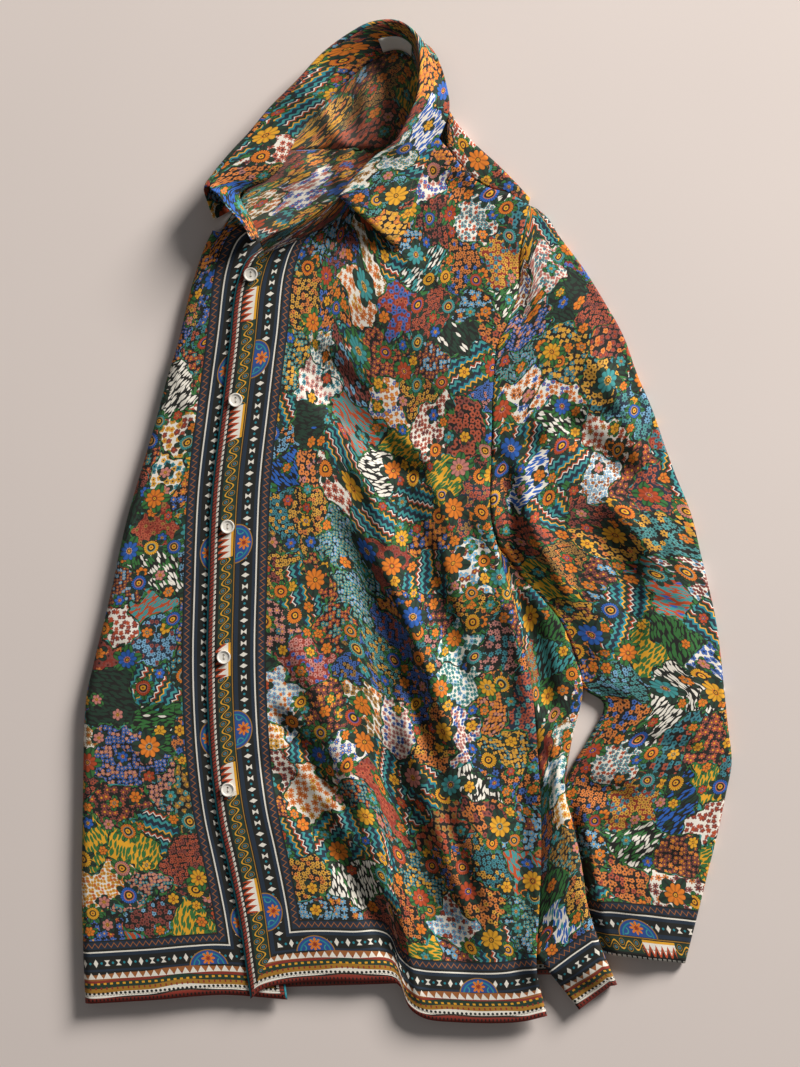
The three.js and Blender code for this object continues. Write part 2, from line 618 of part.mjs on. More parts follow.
// The leaf goes on from the top of the stand, rolls outward and comes down: on the back and the shoulder
// at the right, and under the collar at the left.
function collarLeaf() {
  const columns = (LEAF_LAST - LEAF_FIRST) * COLLAR_STEPS;
  const rows = 8;
  const restsFrom = 14.5;
  const lines = Array.from({ length: columns + 1 }, (_, j) => {
    const place = LEAF_FIRST + j / COLLAR_STEPS;
    const top = standPoint(place, 1);
    const along = top.clone().sub(standPoint(place, 0.8)).normalize();
    const end = collar.leaf(place);
    const outward = standPoint(place, 1).sub(standPoint(place, 0)).setZ(0).normalize();
    const onFront = smooth((place - NECK_BACK) / 3);
    const start = top.clone().addScaledVector(along, 2.5 * SEAM);
    const away = end.clone().sub(start).setZ(0);
    const first = start.clone().addScaledVector(along, 8)
      .addScaledVector(away.clone().normalize(), 3.5 * onFront);
    const overFront = start.clone().addScaledVector(away, 0.5).setZ(end.z + 5);
    const underneath = start.clone().addScaledVector(outward, 6).setZ(end.z - 1);
    const second = underneath.lerp(overFront, onFront);
    const bend = new THREE.CubicBezierCurve3(start, first, second, end);
    return Array.from({ length: rows + 1 }, (_n, i) => {
      const point = bend.getPoint(i / rows);
      const lowest = frontHeight(point.x, point.y) + LEAF_LIFT;
      if (place > restsFrom && i > 0) point.z = Math.max(point.z, lowest);
      return point;
    });
  });
  const points = lines[0].map((_, i) => lines.map((line) => line[i]));
  add('collar_leaf', wall(points), PRINT);
}

// A blank label on the inside of the stand at the back of the neck
function neckLabel() {
  const { first, last, low, high, thickness } = LABEL;
  const columns = (last - first) * COLLAR_STEPS;
  const off = CLOTH / 2 + SEAM + thickness / 2;
  const points = [low, high].map((share) => Array.from({ length: columns + 1 }, (_, j) => {
    const place = mix(first, last, j / columns);
    const point = standPoint(place, share);
    const along = standPoint(place + 0.1, share).sub(point);
    const up = standPoint(place, share + 0.1).sub(point);
    return point.addScaledVector(along.cross(up).normalize(), off);
  }));
  add('neck_label', wall(points, { thickness }), WHITE);
}

// One button with a raised rim and two holes through it
function buttonGeometry() {
  const { radius, height, rim, hole, holeSpacing } = BUTTON;
  const bevel = 0.6;
  const profile = [[0, 0], [radius - bevel, 0], [radius, height / 2], [radius - bevel, height],
    [radius - rim, height], [radius - rim - bevel, height - bevel], [0, height - bevel]];
  const half = profile.map(([x, y]) => new THREE.Vector2(x, y));
  const disc = new THREE.LatheGeometry(half, 16).rotateX(Math.PI / 2);
  let solid = solidOf(disc);
  for (const side of [-1, 1]) {
    const drill = new THREE.CylinderGeometry(hole, hole, height * 3, 6).rotateX(Math.PI / 2);
    solid = solid.subtract(solidOf(drill.translate(0, (side * holeSpacing) / 2, 0)));
  }
  const { vertProperties, triVerts } = solid.getMesh();
  const geometry = new THREE.BufferGeometry();
  geometry.setAttribute('position', new THREE.BufferAttribute(new Float32Array(vertProperties), 3));
  geometry.setIndex(new THREE.BufferAttribute(new Uint32Array(triVerts), 1));
  return geometry;
}

function solidOf(geometry) {
  geometry.deleteAttribute('normal');
  geometry.deleteAttribute('uv');
  const merged = mergeVertices(geometry, 1e-4);
  const vertProperties = new Float32Array(merged.attributes.position.array);
  const triVerts = new Uint32Array(merged.index.array);
  return new wasm.Manifold(new wasm.Mesh({ numProp: 3, vertProperties, triVerts }));
}

function buttons() {
  BUTTONS.forEach(([x, y], k) => {
    add(`button_${k + 1}`, buttonGeometry(), PEARL);
    const button = shirt.children[shirt.children.length - 1];
    const reach = BUTTON.radius;
    const slopeX = (frontHeight(x + reach, y) - frontHeight(x - reach, y)) / (2 * reach);
    const slopeY = (frontHeight(x, y + reach) - frontHeight(x, y - reach)) / (2 * reach);
    const normal = new THREE.Vector3(-slopeX, -slopeY, 1).normalize();
    button.quaternion.setFromUnitVectors(new THREE.Vector3(0, 0, 1), normal);
    button.position.set(x, y, frontHeight(x, y)).addScaledVector(normal, CLOTH / 2 + 1.5 * SEAM);
  });
}

// The origin is the middle of the bottom of the whole shirt's box
function centre() {
  const box = new THREE.Box3().setFromObject(shirt);
  const middle = box.getCenter(new THREE.Vector3());
  for (const mesh of shirt.children) mesh.position.sub(new THREE.Vector3(middle.x, middle.y, box.min.z));
}

leftFront();
rightFront();
back();
yoke();
leftSleeve();
foldedBehind();
collarStand();
collarLeaf();
neckLabel();
buttons();
centre();

export default shirt;
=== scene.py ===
"""A printed long-sleeved shirt laid flat, with its right side folded behind it, on a pale table."""

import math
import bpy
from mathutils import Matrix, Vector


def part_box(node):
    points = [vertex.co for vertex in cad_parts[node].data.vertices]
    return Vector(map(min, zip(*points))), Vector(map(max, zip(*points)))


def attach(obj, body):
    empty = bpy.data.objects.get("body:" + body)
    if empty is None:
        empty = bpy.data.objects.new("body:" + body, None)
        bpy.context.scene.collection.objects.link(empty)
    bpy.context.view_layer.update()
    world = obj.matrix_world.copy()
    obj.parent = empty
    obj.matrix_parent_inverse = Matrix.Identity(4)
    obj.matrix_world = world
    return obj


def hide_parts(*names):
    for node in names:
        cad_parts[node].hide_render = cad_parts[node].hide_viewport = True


bl_info = {
    "name": "Scarf Print Shirt",
    "version": (1, 0, 0),
    "blender": (4, 5, 0),
    "location": "3D View > Sidebar > Shirt",
    "description": "Lays out a button-up shirt with a flowered print and scarf borders",
    "category": "Object",
}

import bmesh
import bpy
from mathutils import Vector, noise

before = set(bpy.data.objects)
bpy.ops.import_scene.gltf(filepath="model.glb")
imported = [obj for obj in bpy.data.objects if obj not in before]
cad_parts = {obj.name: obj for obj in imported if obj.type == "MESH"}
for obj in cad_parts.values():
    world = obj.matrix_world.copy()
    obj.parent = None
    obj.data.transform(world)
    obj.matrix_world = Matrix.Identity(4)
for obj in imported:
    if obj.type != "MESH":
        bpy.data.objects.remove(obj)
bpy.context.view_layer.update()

MM = 0.001

# Heights and widths in millimetres, as the solid parts have them
CLOTH = 1.2
LAYER = 1.8
FOLDED_HEIGHT = 7.9
FOLDED_TAPER = 110
LOFT = 6
SLEEVE_UNDER = 7.4
SLEEVE_EDGE = 6.2
SLEEVE_PRESSED = 4.4
SLEEVE_GAP = 0.3
TURN_UNDER = 38
OVERLAP = 30
ROLL_ROOM = 0.42
STAND_LIFT = 1.5
STAND_SWELL = 1.5
LEAF_LIFT = 1.7
SLEEVE_EDGE_WIDTH = 25
BACK_UNDER_SLEEVE = 84
SLEEVE_UNDER_TOP = 222
SLEEVE_PRESSED_TOP = 226
SEAM_DIP_WIDTH = 2.2
SEAM_DIP_DEPTH = 0.55
BUTTON_REACH = 5.7
BUTTON_GAP = 0.45

# How many rows and columns each stretch of cloth has
SIDE_ROWS = 115
ARMHOLE_ROWS = 75
NECK_COLUMNS = 56
YOKE_COLUMNS = 16
BACK_COLUMNS = 44
NECK_PART = 28
SLEEVE_ROWS = 105
ROLL_STEPS = 10
FACE_STEPS = 14
VENT_ROWS = 15
YOKE_FRONT_ROWS = 7
SLEEVE_TOP_COLUMNS = 48
SLEEVE_UNDER_COLUMNS = 12

# Outlines on the table, as x and y in millimetres, each running up from the hem or out from the neck
PLACKET_EDGE = [(-128, 19), (-132, 46), (-137, 81), (-146, 125), (-154, 161), (-159, 196), (-162, 230),
    (-164, 284), (-163, 344), (-160, 426), (-153, 488), (-146, 545), (-140, 598), (-131, 621),
    (-119, 630)]
FRONT_HEM = [(-128, 19), (-118, 27), (-81, 33), (-40, 33), (-8, 31), (2, 11), (14, 3), (37, 0), (91, 0),
    (114, 5)]
SIDE_SEAM = [(114, 5), (109, 24), (105, 44), (107, 82), (109, 123), (109, 172), (106, 225), (100, 278),
    (88, 334), (75, 381), (72, 393)]
ARMHOLE = [(72, 393), (68, 418), (69, 467), (70, 511), (74, 553), (84, 575), (91, 598), (92, 621),
    (95, 643), (99, 667)]
FRONT_NECK = [(-119, 630), (-88, 642), (-55, 658), (-27, 700), (-5, 720), (14, 731), (32, 714)]
YOKE_SEAM = [(32, 714), (43, 700), (54, 688), (69, 680), (82, 677), (99, 667)]
SHOULDER = [(33, 746), (39, 736), (51, 721), (76, 698), (100, 673)]
BACK_NECK = [(-96, 719), (-88, 733), (-70, 751), (-51, 770), (-34, 785), (-19, 792), (-6, 794), (7, 788),
    (18, 774), (27, 758), (33, 746)]
BACK_YOKE_SEAM = [(-102, 711), (-55, 712), (-6, 705), (43, 688), (93, 650)]
YOKE_LEFT = [(-102, 711), (-96, 719)]
YOKE_RIGHT = [(93, 650), (98, 664), (100, 673)]
FOLD_EDGE = [(-263, 15), (-265, 65), (-266, 114), (-265, 180), (-264, 237), (-262, 266), (-256, 293),
    (-244, 342), (-229, 410), (-217, 451), (-205, 492), (-196, 526), (-187, 555), (-177, 597),
    (-166, 631), (-159, 646)]
RIGHT_FRONT_HEM = [(-263, 15), (-244, 16), (-210, 18), (-175, 21), (-150, 22), (-98, 18)]
RIGHT_FRONT_TOP = [(-159, 646), (-150, 652), (-140, 650), (-128, 640), (-117, 628), (-100, 621)]
BACK_LEFT = [(-257, 22), (-260, 114), (-259, 180), (-258, 237), (-250, 293), (-223, 410), (-190, 526),
    (-171, 597), (-150, 645), (-128, 684), (-102, 711)]
BACK_HEM = [(-257, 22), (-128, 26), (0, 30), (60, 34), (125, 38), (171, 30)]
VENT_CORNER = (140, 10)
BACK_EDGE = [(171, 30), (160, 55), (155, 68), (147, 93), (141, 131), (135, 160), (128, 189), (134, 229),
    (143, 273), (136, 299), (125, 326), (98, 359), (72, 391)]
SLEEVE_INNER = [(133, 59), (122, 98), (119, 139), (125, 180), (136, 209), (150, 233), (161, 259),
    (143, 273), (136, 299), (125, 326), (98, 359), (72, 393)]
SLEEVE_CAP = [(220, 444), (210, 471), (200, 500), (188, 528), (176, 561), (162, 586), (144, 615),
    (123, 643), (115, 656), (106, 664)]
SLEEVE_OUTER = [(227, 47), (240, 98), (247, 127), (254, 155), (260, 184), (265, 211), (262, 241),
    (259, 270), (256, 299), (252, 328), (246, 356), (239, 385), (232, 414), (220, 444)]
FOLDED_LEFT = [(-252, 24), (-254, 114), (-252, 200), (-249, 262), (-243, 293), (-216, 410), (-183, 526),
    (-164, 597), (-148, 650), (-133, 668), (-114, 684), (-97, 706), (-82, 725), (-65, 744), (-48, 764),
    (-34, 778)]

# Folds, as from x, y, to x, y, sideways bow, width to the left and to the right, height
FOLDS = [
    (-100, 545, 0, 446, 6, 22, 13, -8),
    (-8, 455, 66, 276, -12, 18, 16, -6),
    (-72, 430, -8, 225, 12, 16, 15, -5),
    (-22, 250, 56, 20, -8, 18, 16, -7),
    (-128, 222, -2, 28, 14, 17, 14, -7),
    (-114, 350, 4, 20, 14, 15, 15, 5),
    (-42, 420, 84, 40, 14, 16, 17, 5),
    (-60, 610, 60, 470, 18, 40, 34, 3),
    (70, 380, 100, 238, 6, 11, 10, 5),
    (78, 395, 118, 240, 4, 12, 13, -8),
    (98, 240, 104, 50, 0, 16, 15, -8),
    (110, 250, 158, 70, 8, 11, 11, 3),
    (54, 432, 114, 484, 0, 14, 12, -5),
    (10, 690, 56, 676, 0, 12, 12, -3),
    (84, 640, 96, 560, 0, 12, 14, -3),
    (92, 424, 132, 326, 4, 13, 12, 5),
    (122, 505, 196, 440, -8, 14, 14, -5),
    (136, 556, 196, 452, 8, 14, 14, 3),
    (140, 414, 170, 270, 30, 15, 16, -7),
    (150, 432, 206, 366, 8, 12, 13, 4),
    (180, 372, 168, 282, 16, 14, 14, 3),
    (128, 196, 190, 178, 0, 13, 13, -4),
    (160, 126, 232, 132, 0, 14, 13, -2.5),
    (-242, 170, -186, 112, 0, 15, 13, -2),
    (-236, 330, -196, 250, 0, 14, 14, 1.5),
]

# Finer creases of the cloth that shows, in the same columns
CREASES = [
    (-80, 520, 24, 438, -7, 9, 5, -3.6),
    (-48, 400, 26, 190, 7, 8, 5, -3.2),
    (-14, 300, 62, 60, -6, 6, 8, 2.6),
    (14, 400, 52, 262, -5, 8, 5, -3.0),
    (-120, 262, -58, 176, 5, 8, 5, -3.2),
    (-96, 200, -24, 60, 8, 5, 8, 2.6),
    (-70, 150, -6, 40, 5, 8, 5, -3.0),
    (74, 466, 94, 346, 3, 9, 7, -3.2),
    (-54, 470, -12, 372, 6, 9, 6, 2.2),
    (-30, 372, 16, 232, 6, 7, 10, -2.4),
    (-92, 560, -30, 505, 3, 6, 4, -1.6),
    (-60, 520, 6, 430, -4, 6, 5, -1.4),
    (4, 470, 40, 380, 4, 7, 4, 1.2),
    (-30, 400, 10, 300, 3, 6, 5, -1.4),
    (10, 300, 48, 190, -4, 6, 4, -1.5),
    (30, 190, 66, 90, 3, 5, 5, 1.2),
    (-96, 260, -40, 150, 4, 6, 5, -1.3),
    (-60, 180, -20, 80, -3, 5, 4, 1.1),
    (-20, 110, 4, 24, 2, 6, 4, -2.2),
    (-6, 90, 14, 8, -2, 4, 5, 1.8),
    (60, 130, 92, 30, 4, 7, 5, -1.3),
    (44, 420, 92, 330, -5, 6, 5, -1.6),
    (58, 470, 100, 430, 3, 5, 5, -1.2),
    (20, 660, 80, 640, 3, 7, 5, -1.0),
    (-20, 640, 40, 600, -4, 8, 6, 0.9),
    (-100, 470, -60, 360, 4, 8, 6, 0.9),
    (96, 520, 150, 560, -3, 6, 5, -1.2),
    (110, 470, 190, 500, 5, 6, 5, -1.5),
    (150, 350, 240, 330, 4, 6, 5, -1.3),
    (140, 300, 200, 330, -4, 5, 5, 1.1),
    (190, 420, 236, 350, 4, 6, 5, 1.2),
    (130, 160, 210, 150, 4, 6, 5, -1.1),
    (136, 110, 200, 90, -3, 6, 5, 1.0),
    (170, 230, 250, 215, 3, 7, 5, -1.4),
    (200, 260, 250, 300, -3, 6, 5, -1.0),
    (-250, 120, -190, 80, 2, 6, 5, -0.9),
    (-240, 240, -190, 200, -3, 7, 5, 0.9),
    (-230, 420, -180, 350, 3, 7, 5, -0.9),
    (-200, 560, -170, 470, 2, 6, 5, 0.8),
    (120, 330, 138, 262, 4, 4, 4, -1.2),
    (110, 230, 128, 130, 3, 5, 4, -1.3),
    (-70, 532, 34, 450, -7, 10, 5, 2.4),
    (82, 476, 106, 356, 3, 10, 5, 2.2),
    (-36, 406, 40, 196, 7, 10, 5, 2.3),
    (-112, 270, -46, 182, 5, 10, 5, 2.0),
    (25, 406, 63, 266, -5, 9, 5, 2.0),
    (-84, 204, -12, 62, 8, 9, 5, 1.8),
]

NECK_FOLDS = [
    (-52, 725, -56, 680, 0, 9, 12, 3),
    (-30, 775, -42, 705, 4, 9, 9, 3),
    (-8, 770, -20, 700, 0, 8, 9, 3),
    (-110, 690, -60, 690, 0, 10, 10, 2),
]

# Sharper creases of the same cloth, which show in the open neck
NECK_CREASES = [
    (-70, 756, -46, 712, -3, 4, 10, 5.2),
    (-48, 736, -56, 668, 4, 4, 9, 5.4),
    (-34, 780, -42, 700, 5, 4, 8, 5.0),
    (-18, 782, -24, 700, -4, 4, 7, 4.6),
    (-4, 780, -12, 716, 3, 5, 6, 2.6),
    (-92, 712, -66, 664, 5, 5, 9, 2.6),
    (-74, 706, -92, 664, -4, 5, 8, 2.2),
]

# The collar, one row for each place round the neck: the stand's foot x, y, its top x, y, its rise, and
# the leaf's edge x, y and height
COLLAR = [
    (-121, 640, -126, 635, 24),
    (-127, 654, -134, 649, 26),
    (-135, 668, -146, 662, 27),
    (-137, 675, -152, 671, 26),
    (-129, 681, -160, 679, 21, -158, 654, 13),
    (-114, 688, -154, 690, 17, -143, 664, 3),
    (-101, 700, -140, 707, 15, -121, 681, 2),
    (-95, 713, -125, 723, 14, -104, 704, 2),
    (-86, 729, -108, 743, 14, -89, 724, 2),
    (-68, 748, -87, 763, 14, -72, 743, 2),
    (-50, 767, -67, 785, 15, -55, 766, 2),
    (-33, 782, -45, 801, 18, -36, 786, 2),
    (-19, 789, -28, 809, 22, -24, 796, 3),
    (-6, 791, -7, 810, 24, -4, 799, 5),
    (4, 786, 5, 800, 27, 17, 797, 7),
    (9, 774, 9, 785, 29, 27, 780, 9),
    (12, 760, 9, 767, 30, 32, 762, 12),
    (11, 742, 6, 747, 30, 34, 744, 14),
    (5, 724, -1, 730, 30, 27, 724, 0),
    (-4, 708, -10, 714, 30, 17, 704, 0),
    (-21, 694, -28, 700, 29, 9, 685, 0),
    (-38, 676, -44, 683, 28, 3, 662, 0),
    (-52, 660, -56, 669, 27, -7, 630, 0),
    (-67, 649, -72, 658, 24),
    (-90, 637, -95, 645, 23),
    (-105, 631, -110, 639, 22),
    (-116, 626, -119, 633, 21),
]
LEAF_FIRST = 4
LEAF_LAST = 22
NECK_BACK = 12
LEAF_ON_FRONT = 18

BUTTONS = [(-127.5, 609), (-139.8, 507), (-146.4, 404), (-149.6, 298), (-146.4, 190)]


def table_shift():
    """Where the table's zero lies in the part's own frame, found from a button whose place is known."""
    low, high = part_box("button_3")
    middle = (Vector(low) + Vector(high)) / 2
    x, y = BUTTONS[2]
    return Vector((middle.x - x * MM, middle.y - y * MM, 0))


SHIFT = table_shift()


# Small tools


def smooth(value):
    value = min(max(value, 0.0), 1.0)
    return value * value * (3 - 2 * value)


def mix(a, b, share):
    return a + (b - a) * share


def spline(points, place):
    """A point of the smooth line through the points, where each whole number is one of them."""
    k = min(max(int(place), 0), len(points) - 2)
    start, end = points[k], points[k + 1]
    before = points[k - 1] if k else 2 * start - end
    after = points[k + 2] if k + 2 < len(points) else 2 * end - start
    gap_0, gap_1, gap_2 = (max((b - a).length, 1e-6) ** 0.5
        for a, b in ((before, start), (start, end), (end, after)))
    leave = (start - before) / gap_0 - (end - before) / (gap_0 + gap_1) + (end - start) / gap_1
    reach = (end - start) / gap_1 - (after - start) / (gap_1 + gap_2) + (after - end) / gap_2
    leave, reach = leave * gap_1, reach * gap_1
    t = place - k
    return (start + leave * t + (3 * (end - start) - 2 * leave - reach) * t * t
        + (2 * (start - end) + leave + reach) * t * t * t)


class Outline:
    """A smooth line on the table, read by the share of its length."""

    def __init__(self, rows, steps=12):
        corners = [Vector((x, y, 0)) for x, y in rows]
        count = (len(corners) - 1) * steps
        self.points = [spline(corners, k / steps) for k in range(count + 1)]
        self.lengths = [0.0]
        for a, b in zip(self.points, self.points[1:]):
            self.lengths.append(self.lengths[-1] + (b - a).length)

    def spaced(self, count):
        """Points at even steps of the line's length."""
        found = []
        k = 0
        for step in range(count + 1):
            target = self.lengths[-1] * step / count
            while k < len(self.lengths) - 2 and self.lengths[k + 1] < target:
                k += 1
            share = (target - self.lengths[k]) / (self.lengths[k + 1] - self.lengths[k])
            found.append(self.points[k].lerp(self.points[k + 1], share))
        return found


def crossing(rows, y):
    """The x of an outline at a height y, where the outline only climbs."""
    if y <= rows[0][1]:
        return rows[0][0]
    for (x1, y1), (x2, y2) in zip(rows, rows[1:]):
        if y <= y2:
            return mix(x1, x2, (y - y1) / (y2 - y1))
    return rows[-1][0]


def patch(left, right, bottom, top):
    """Plan points between four edges that meet at their ends."""
    rows, columns = len(left) - 1, len(bottom) - 1
    grid = []
    for i in range(rows + 1):
        t = i / rows
        row = []
        for j in range(columns + 1):
            s = j / columns
            corners = (bottom[0] * ((1 - s) * (1 - t)) + bottom[columns] * (s * (1 - t))
                + top[0] * ((1 - s) * t) + top[columns] * (s * t))
            row.append(bottom[j].lerp(top[j], t) + left[i].lerp(right[i], s) - corners)
        grid.append(row)
    return grid


# Heights of the layers


class FoldTable:
    """Folds as ready numbers, so that a height is quick to work out. The cloth creases more sharply than
    the solids do, so a table can be narrowed and deepened."""

    def __init__(self, rows, narrow=1.0, deepen=1.0):
        self.rows = []
        for from_x, from_y, to_x, to_y, bow, left, right, height in rows:
            left, right, height = left * narrow, right * narrow, height * deepen
            dx, dy = to_x - from_x, to_y - from_y
            length = math.hypot(dx, dy)
            reach = 3 * max(left, right) + abs(bow)
            self.rows.append((from_x, from_y, dx / length, dy / length, length, bow, left, right, height,
                reach))

    def height(self, x, y):
        total = 0.0
        for from_x, from_y, dx, dy, length, bow, left, right, height, reach in self.rows:
            off = (y - from_y) * dx - (x - from_x) * dy
            if abs(off) > reach:
                continue
            along = ((x - from_x) * dx + (y - from_y) * dy) / length
            if not 0 < along < 1:
                continue
            off -= bow * 4 * along * (1 - along)
            ends = smooth(along * 4) * smooth((1 - along) * 4)
            width = left if off > 0 else right
            total += height * ends * math.exp(-((off / width) ** 2))
        return total


LARGE = FoldTable(FOLDS, narrow=0.74, deepen=1.5)
FINE = FoldTable(CREASES, deepen=2.1)
NECK = FoldTable(NECK_FOLDS)
NECK_FINE = FoldTable(NECK_CREASES)


def folded_end(y):
    return -88 + 0.08 * y + 0.55 * max(0, y - 600)


def back_height(x, y):
    folded = FOLDED_HEIGHT * smooth((folded_end(y) - x) / FOLDED_TAPER)
    over_sleeve = (smooth((x - BACK_UNDER_SLEEVE) / 26) * smooth((y - 24) / 22)
        * smooth((SLEEVE_UNDER_TOP - y) / 26))
    return CLOTH / 2 + folded + SLEEVE_UNDER * over_sleeve


def fullness(x, y):
    """How far the fronts and the sleeve stand off what they lie on."""
    loft = 1 + LOFT * smooth((x + 200) / 120) * (1 - 0.5 * smooth((y - 590) / 90))
    height = loft + LARGE.height(x, y) + FINE.height(x, y)
    height = (height + math.sqrt(height * height + 3)) / 2
    return height + softness(x, y)


def softness(x, y):
    """The slight unevenness of cloth that has been worn and folded."""
    broad = noise.noise(Vector((x / 34, y / 46, 3.1)))
    close = noise.noise(Vector((x / 13, y / 17, 8.4)))
    return 0.55 * broad + 0.22 * close


def right_front_height(x, y):
    return back_height(x, y) + LAYER + fullness(x, y)


def front_height(x, y):
    return back_height(x, y) + 2 * LAYER + fullness(x, y)


def pressed(x, y):
    """The share of the sleeve's cloth that the body presses down."""
    edge = crossing(BACK_EDGE, y)
    return smooth((edge + 12 - x) / 12) * smooth((y - 20) / 20) * smooth((SLEEVE_PRESSED_TOP - y) / 26)


def sleeve_height(x, y):
    free = CLOTH / 2 + 2 * LAYER + fullness(x, y)
    return mix(free, CLOTH / 2 + SLEEVE_PRESSED + SLEEVE_GAP, pressed(x, y))


def neck_height(x, y):
    return back_height(x, y) + NECK.height(x, y) + NECK_FINE.height(x, y)


def raised(point, height):
    return Vector((point.x, point.y, height(point.x, point.y)))


def roll(edge, inward, low, high):
    """Points round a rolled edge, from low at the inside, round, to high."""
    radius = (high - low) / 2
    centre = edge + inward * radius
    points = []
    for k in range(ROLL_STEPS + 1):
        angle = math.pi * (k / ROLL_STEPS - 0.5)
        point = centre - inward * (radius * math.cos(angle))
        points.append(Vector((point.x, point.y, low + radius + radius * math.sin(angle))))
    return points


def over_top(start, end, rise, steps, settled):
    """Points from a rolled edge to a seam on top, which settle from a height onto the front's."""
    points = []
    for k in range(1, steps + 1):
        share = k / steps
        place = start.lerp(end, share)
        place.z = mix(rise, front_height(place.x, place.y), settled(share))
        points.append(place)
    return points


# The cloth of each piece, as rows of points in millimetres

side_seam = Outline(SIDE_SEAM).spaced(SIDE_ROWS)
armhole = Outline(ARMHOLE).spaced(ARMHOLE_ROWS)
seam_up = side_seam + armhole[1:]
yoke_seam = Outline(YOKE_SEAM).spaced(YOKE_COLUMNS)
back_yoke_seam = Outline(BACK_YOKE_SEAM).spaced(BACK_COLUMNS)


def left_front_points():
    rows = SIDE_ROWS + ARMHOLE_ROWS
    columns = NECK_COLUMNS + YOKE_COLUMNS
    top = Outline(FRONT_NECK).spaced(NECK_COLUMNS)[:-1] + yoke_seam
    left = Outline(PLACKET_EDGE).spaced(rows)
    bottom = Outline(FRONT_HEM).spaced(columns)
    plan = patch(left, seam_up, bottom, top)
    return [[raised(point, front_height) for point in row] for row in plan]


def right_front_points():
    rows, columns, lip_steps = 150, 44, 6
    left = Outline(FOLD_EDGE).spaced(rows)
    right = [point + Vector((OVERLAP, 0, 0)) for point in Outline(PLACKET_EDGE).spaced(rows)]
    bottom = Outline(RIGHT_FRONT_HEM).spaced(columns)
    top = Outline(RIGHT_FRONT_TOP).spaced(columns)
    right[0], right[rows] = bottom[columns], top[columns]
    plan = patch(left, right, bottom, top)
    points = []
    for i, edge in enumerate(left):
        inward = (right[i] - edge).normalized()
        high = right_front_height(edge.x, edge.y)
        low = CLOTH / 2
        radius = (high - low) / 2
        row = []
        for k in range(lip_steps):
            lip = edge + inward * mix(TURN_UNDER, radius, k / lip_steps)
            row.append(Vector((lip.x, lip.y, low)))
        row += roll(edge, inward, low, high)
        for j in range(1, columns + 1):
            clear = plan[i][j] + inward * (radius * (1 - j / columns))
            row.append(raised(clear, right_front_height))
        points.append(row)
    return points


def back_points():
    """From the side seam, where it ends on top, over its rolled edge and then below the fronts."""
    rows = SIDE_ROWS + ARMHOLE_ROWS
    left = Outline(BACK_LEFT).spaced(rows)
    edge = Outline(BACK_EDGE).spaced(SIDE_ROWS) + armhole[1:]
    bottom = Outline(BACK_HEM).spaced(BACK_COLUMNS)
    top = list(back_yoke_seam)
    seam = list(side_seam)
    corner = Vector((*VENT_CORNER, 0))
    for i in range(VENT_ROWS):
        seam[i] = corner.lerp(seam[VENT_ROWS], i / VENT_ROWS)
    edge[rows], left[rows], edge[0] = top[BACK_COLUMNS], top[0], bottom[BACK_COLUMNS]
    plan = patch(left, edge, bottom, top)
    points = []
    for i, side in enumerate(edge):
        inward = (left[i] - side).normalized()
        end = seam[min(i, SIDE_ROWS)]
        low = back_height(side.x, side.y)
        room = (side - end).length
        radius = min((front_height(side.x, side.y) - low) / 2, max(room * ROLL_ROOM, 1))
        shift = radius if i < SIDE_ROWS else 0
        under = [raised(plan[i][j] + inward * (shift * j / BACK_COLUMNS), neck_height)
            for j in range(BACK_COLUMNS)]
        if i >= SIDE_ROWS:
            under.append(raised(side, neck_height))
        around = roll(side, inward, low, low + 2 * radius)
        over = over_top(around[ROLL_STEPS], end, low + 2 * radius, FACE_STEPS,
            lambda share: smooth(share * 1.5))
        row = under + (around if i < SIDE_ROWS else around[1:]) + over
        points.append(row[::-1])
    return points


def yoke_points():
    """From the seam in front of the shoulder, over the shoulder and then flat across the back."""
    flat_rows = 10
    shoulder = Outline(SHOULDER).spaced(YOKE_COLUMNS)
    top = Outline(BACK_NECK).spaced(NECK_PART)[:-1] + shoulder
    left = Outline(YOKE_LEFT).spaced(flat_rows)
    right = Outline(YOKE_RIGHT).spaced(flat_rows)
    plan = patch(left, right, back_yoke_seam, top)
    columns = []
    for j, edge in enumerate(top):
        end = yoke_seam[max(j - NECK_PART, 0)]
        inward = (end - edge).normalized()
        low = back_height(edge.x, edge.y)
        room = (edge - end).length
        radius = min((front_height(edge.x, edge.y) - low) / 2, room * ROLL_ROOM)
        inset = 0 if j < NECK_PART else radius
        flat = [raised(plan[i][j] + inward * (inset * i / flat_rows), neck_height)
            for i in range(flat_rows)]
        around = roll(edge, inward, low, low + 2 * radius)
        if j < NECK_PART:
            around[0] = raised(edge, neck_height)
        over = over_top(around[ROLL_STEPS], end, low + 2 * radius, YOKE_FRONT_ROWS, lambda share: share)
        columns.append(flat + around + over)
    rows = [[column[i] for column in columns] for i in range(len(columns[0]))]
    return rows[::-1]


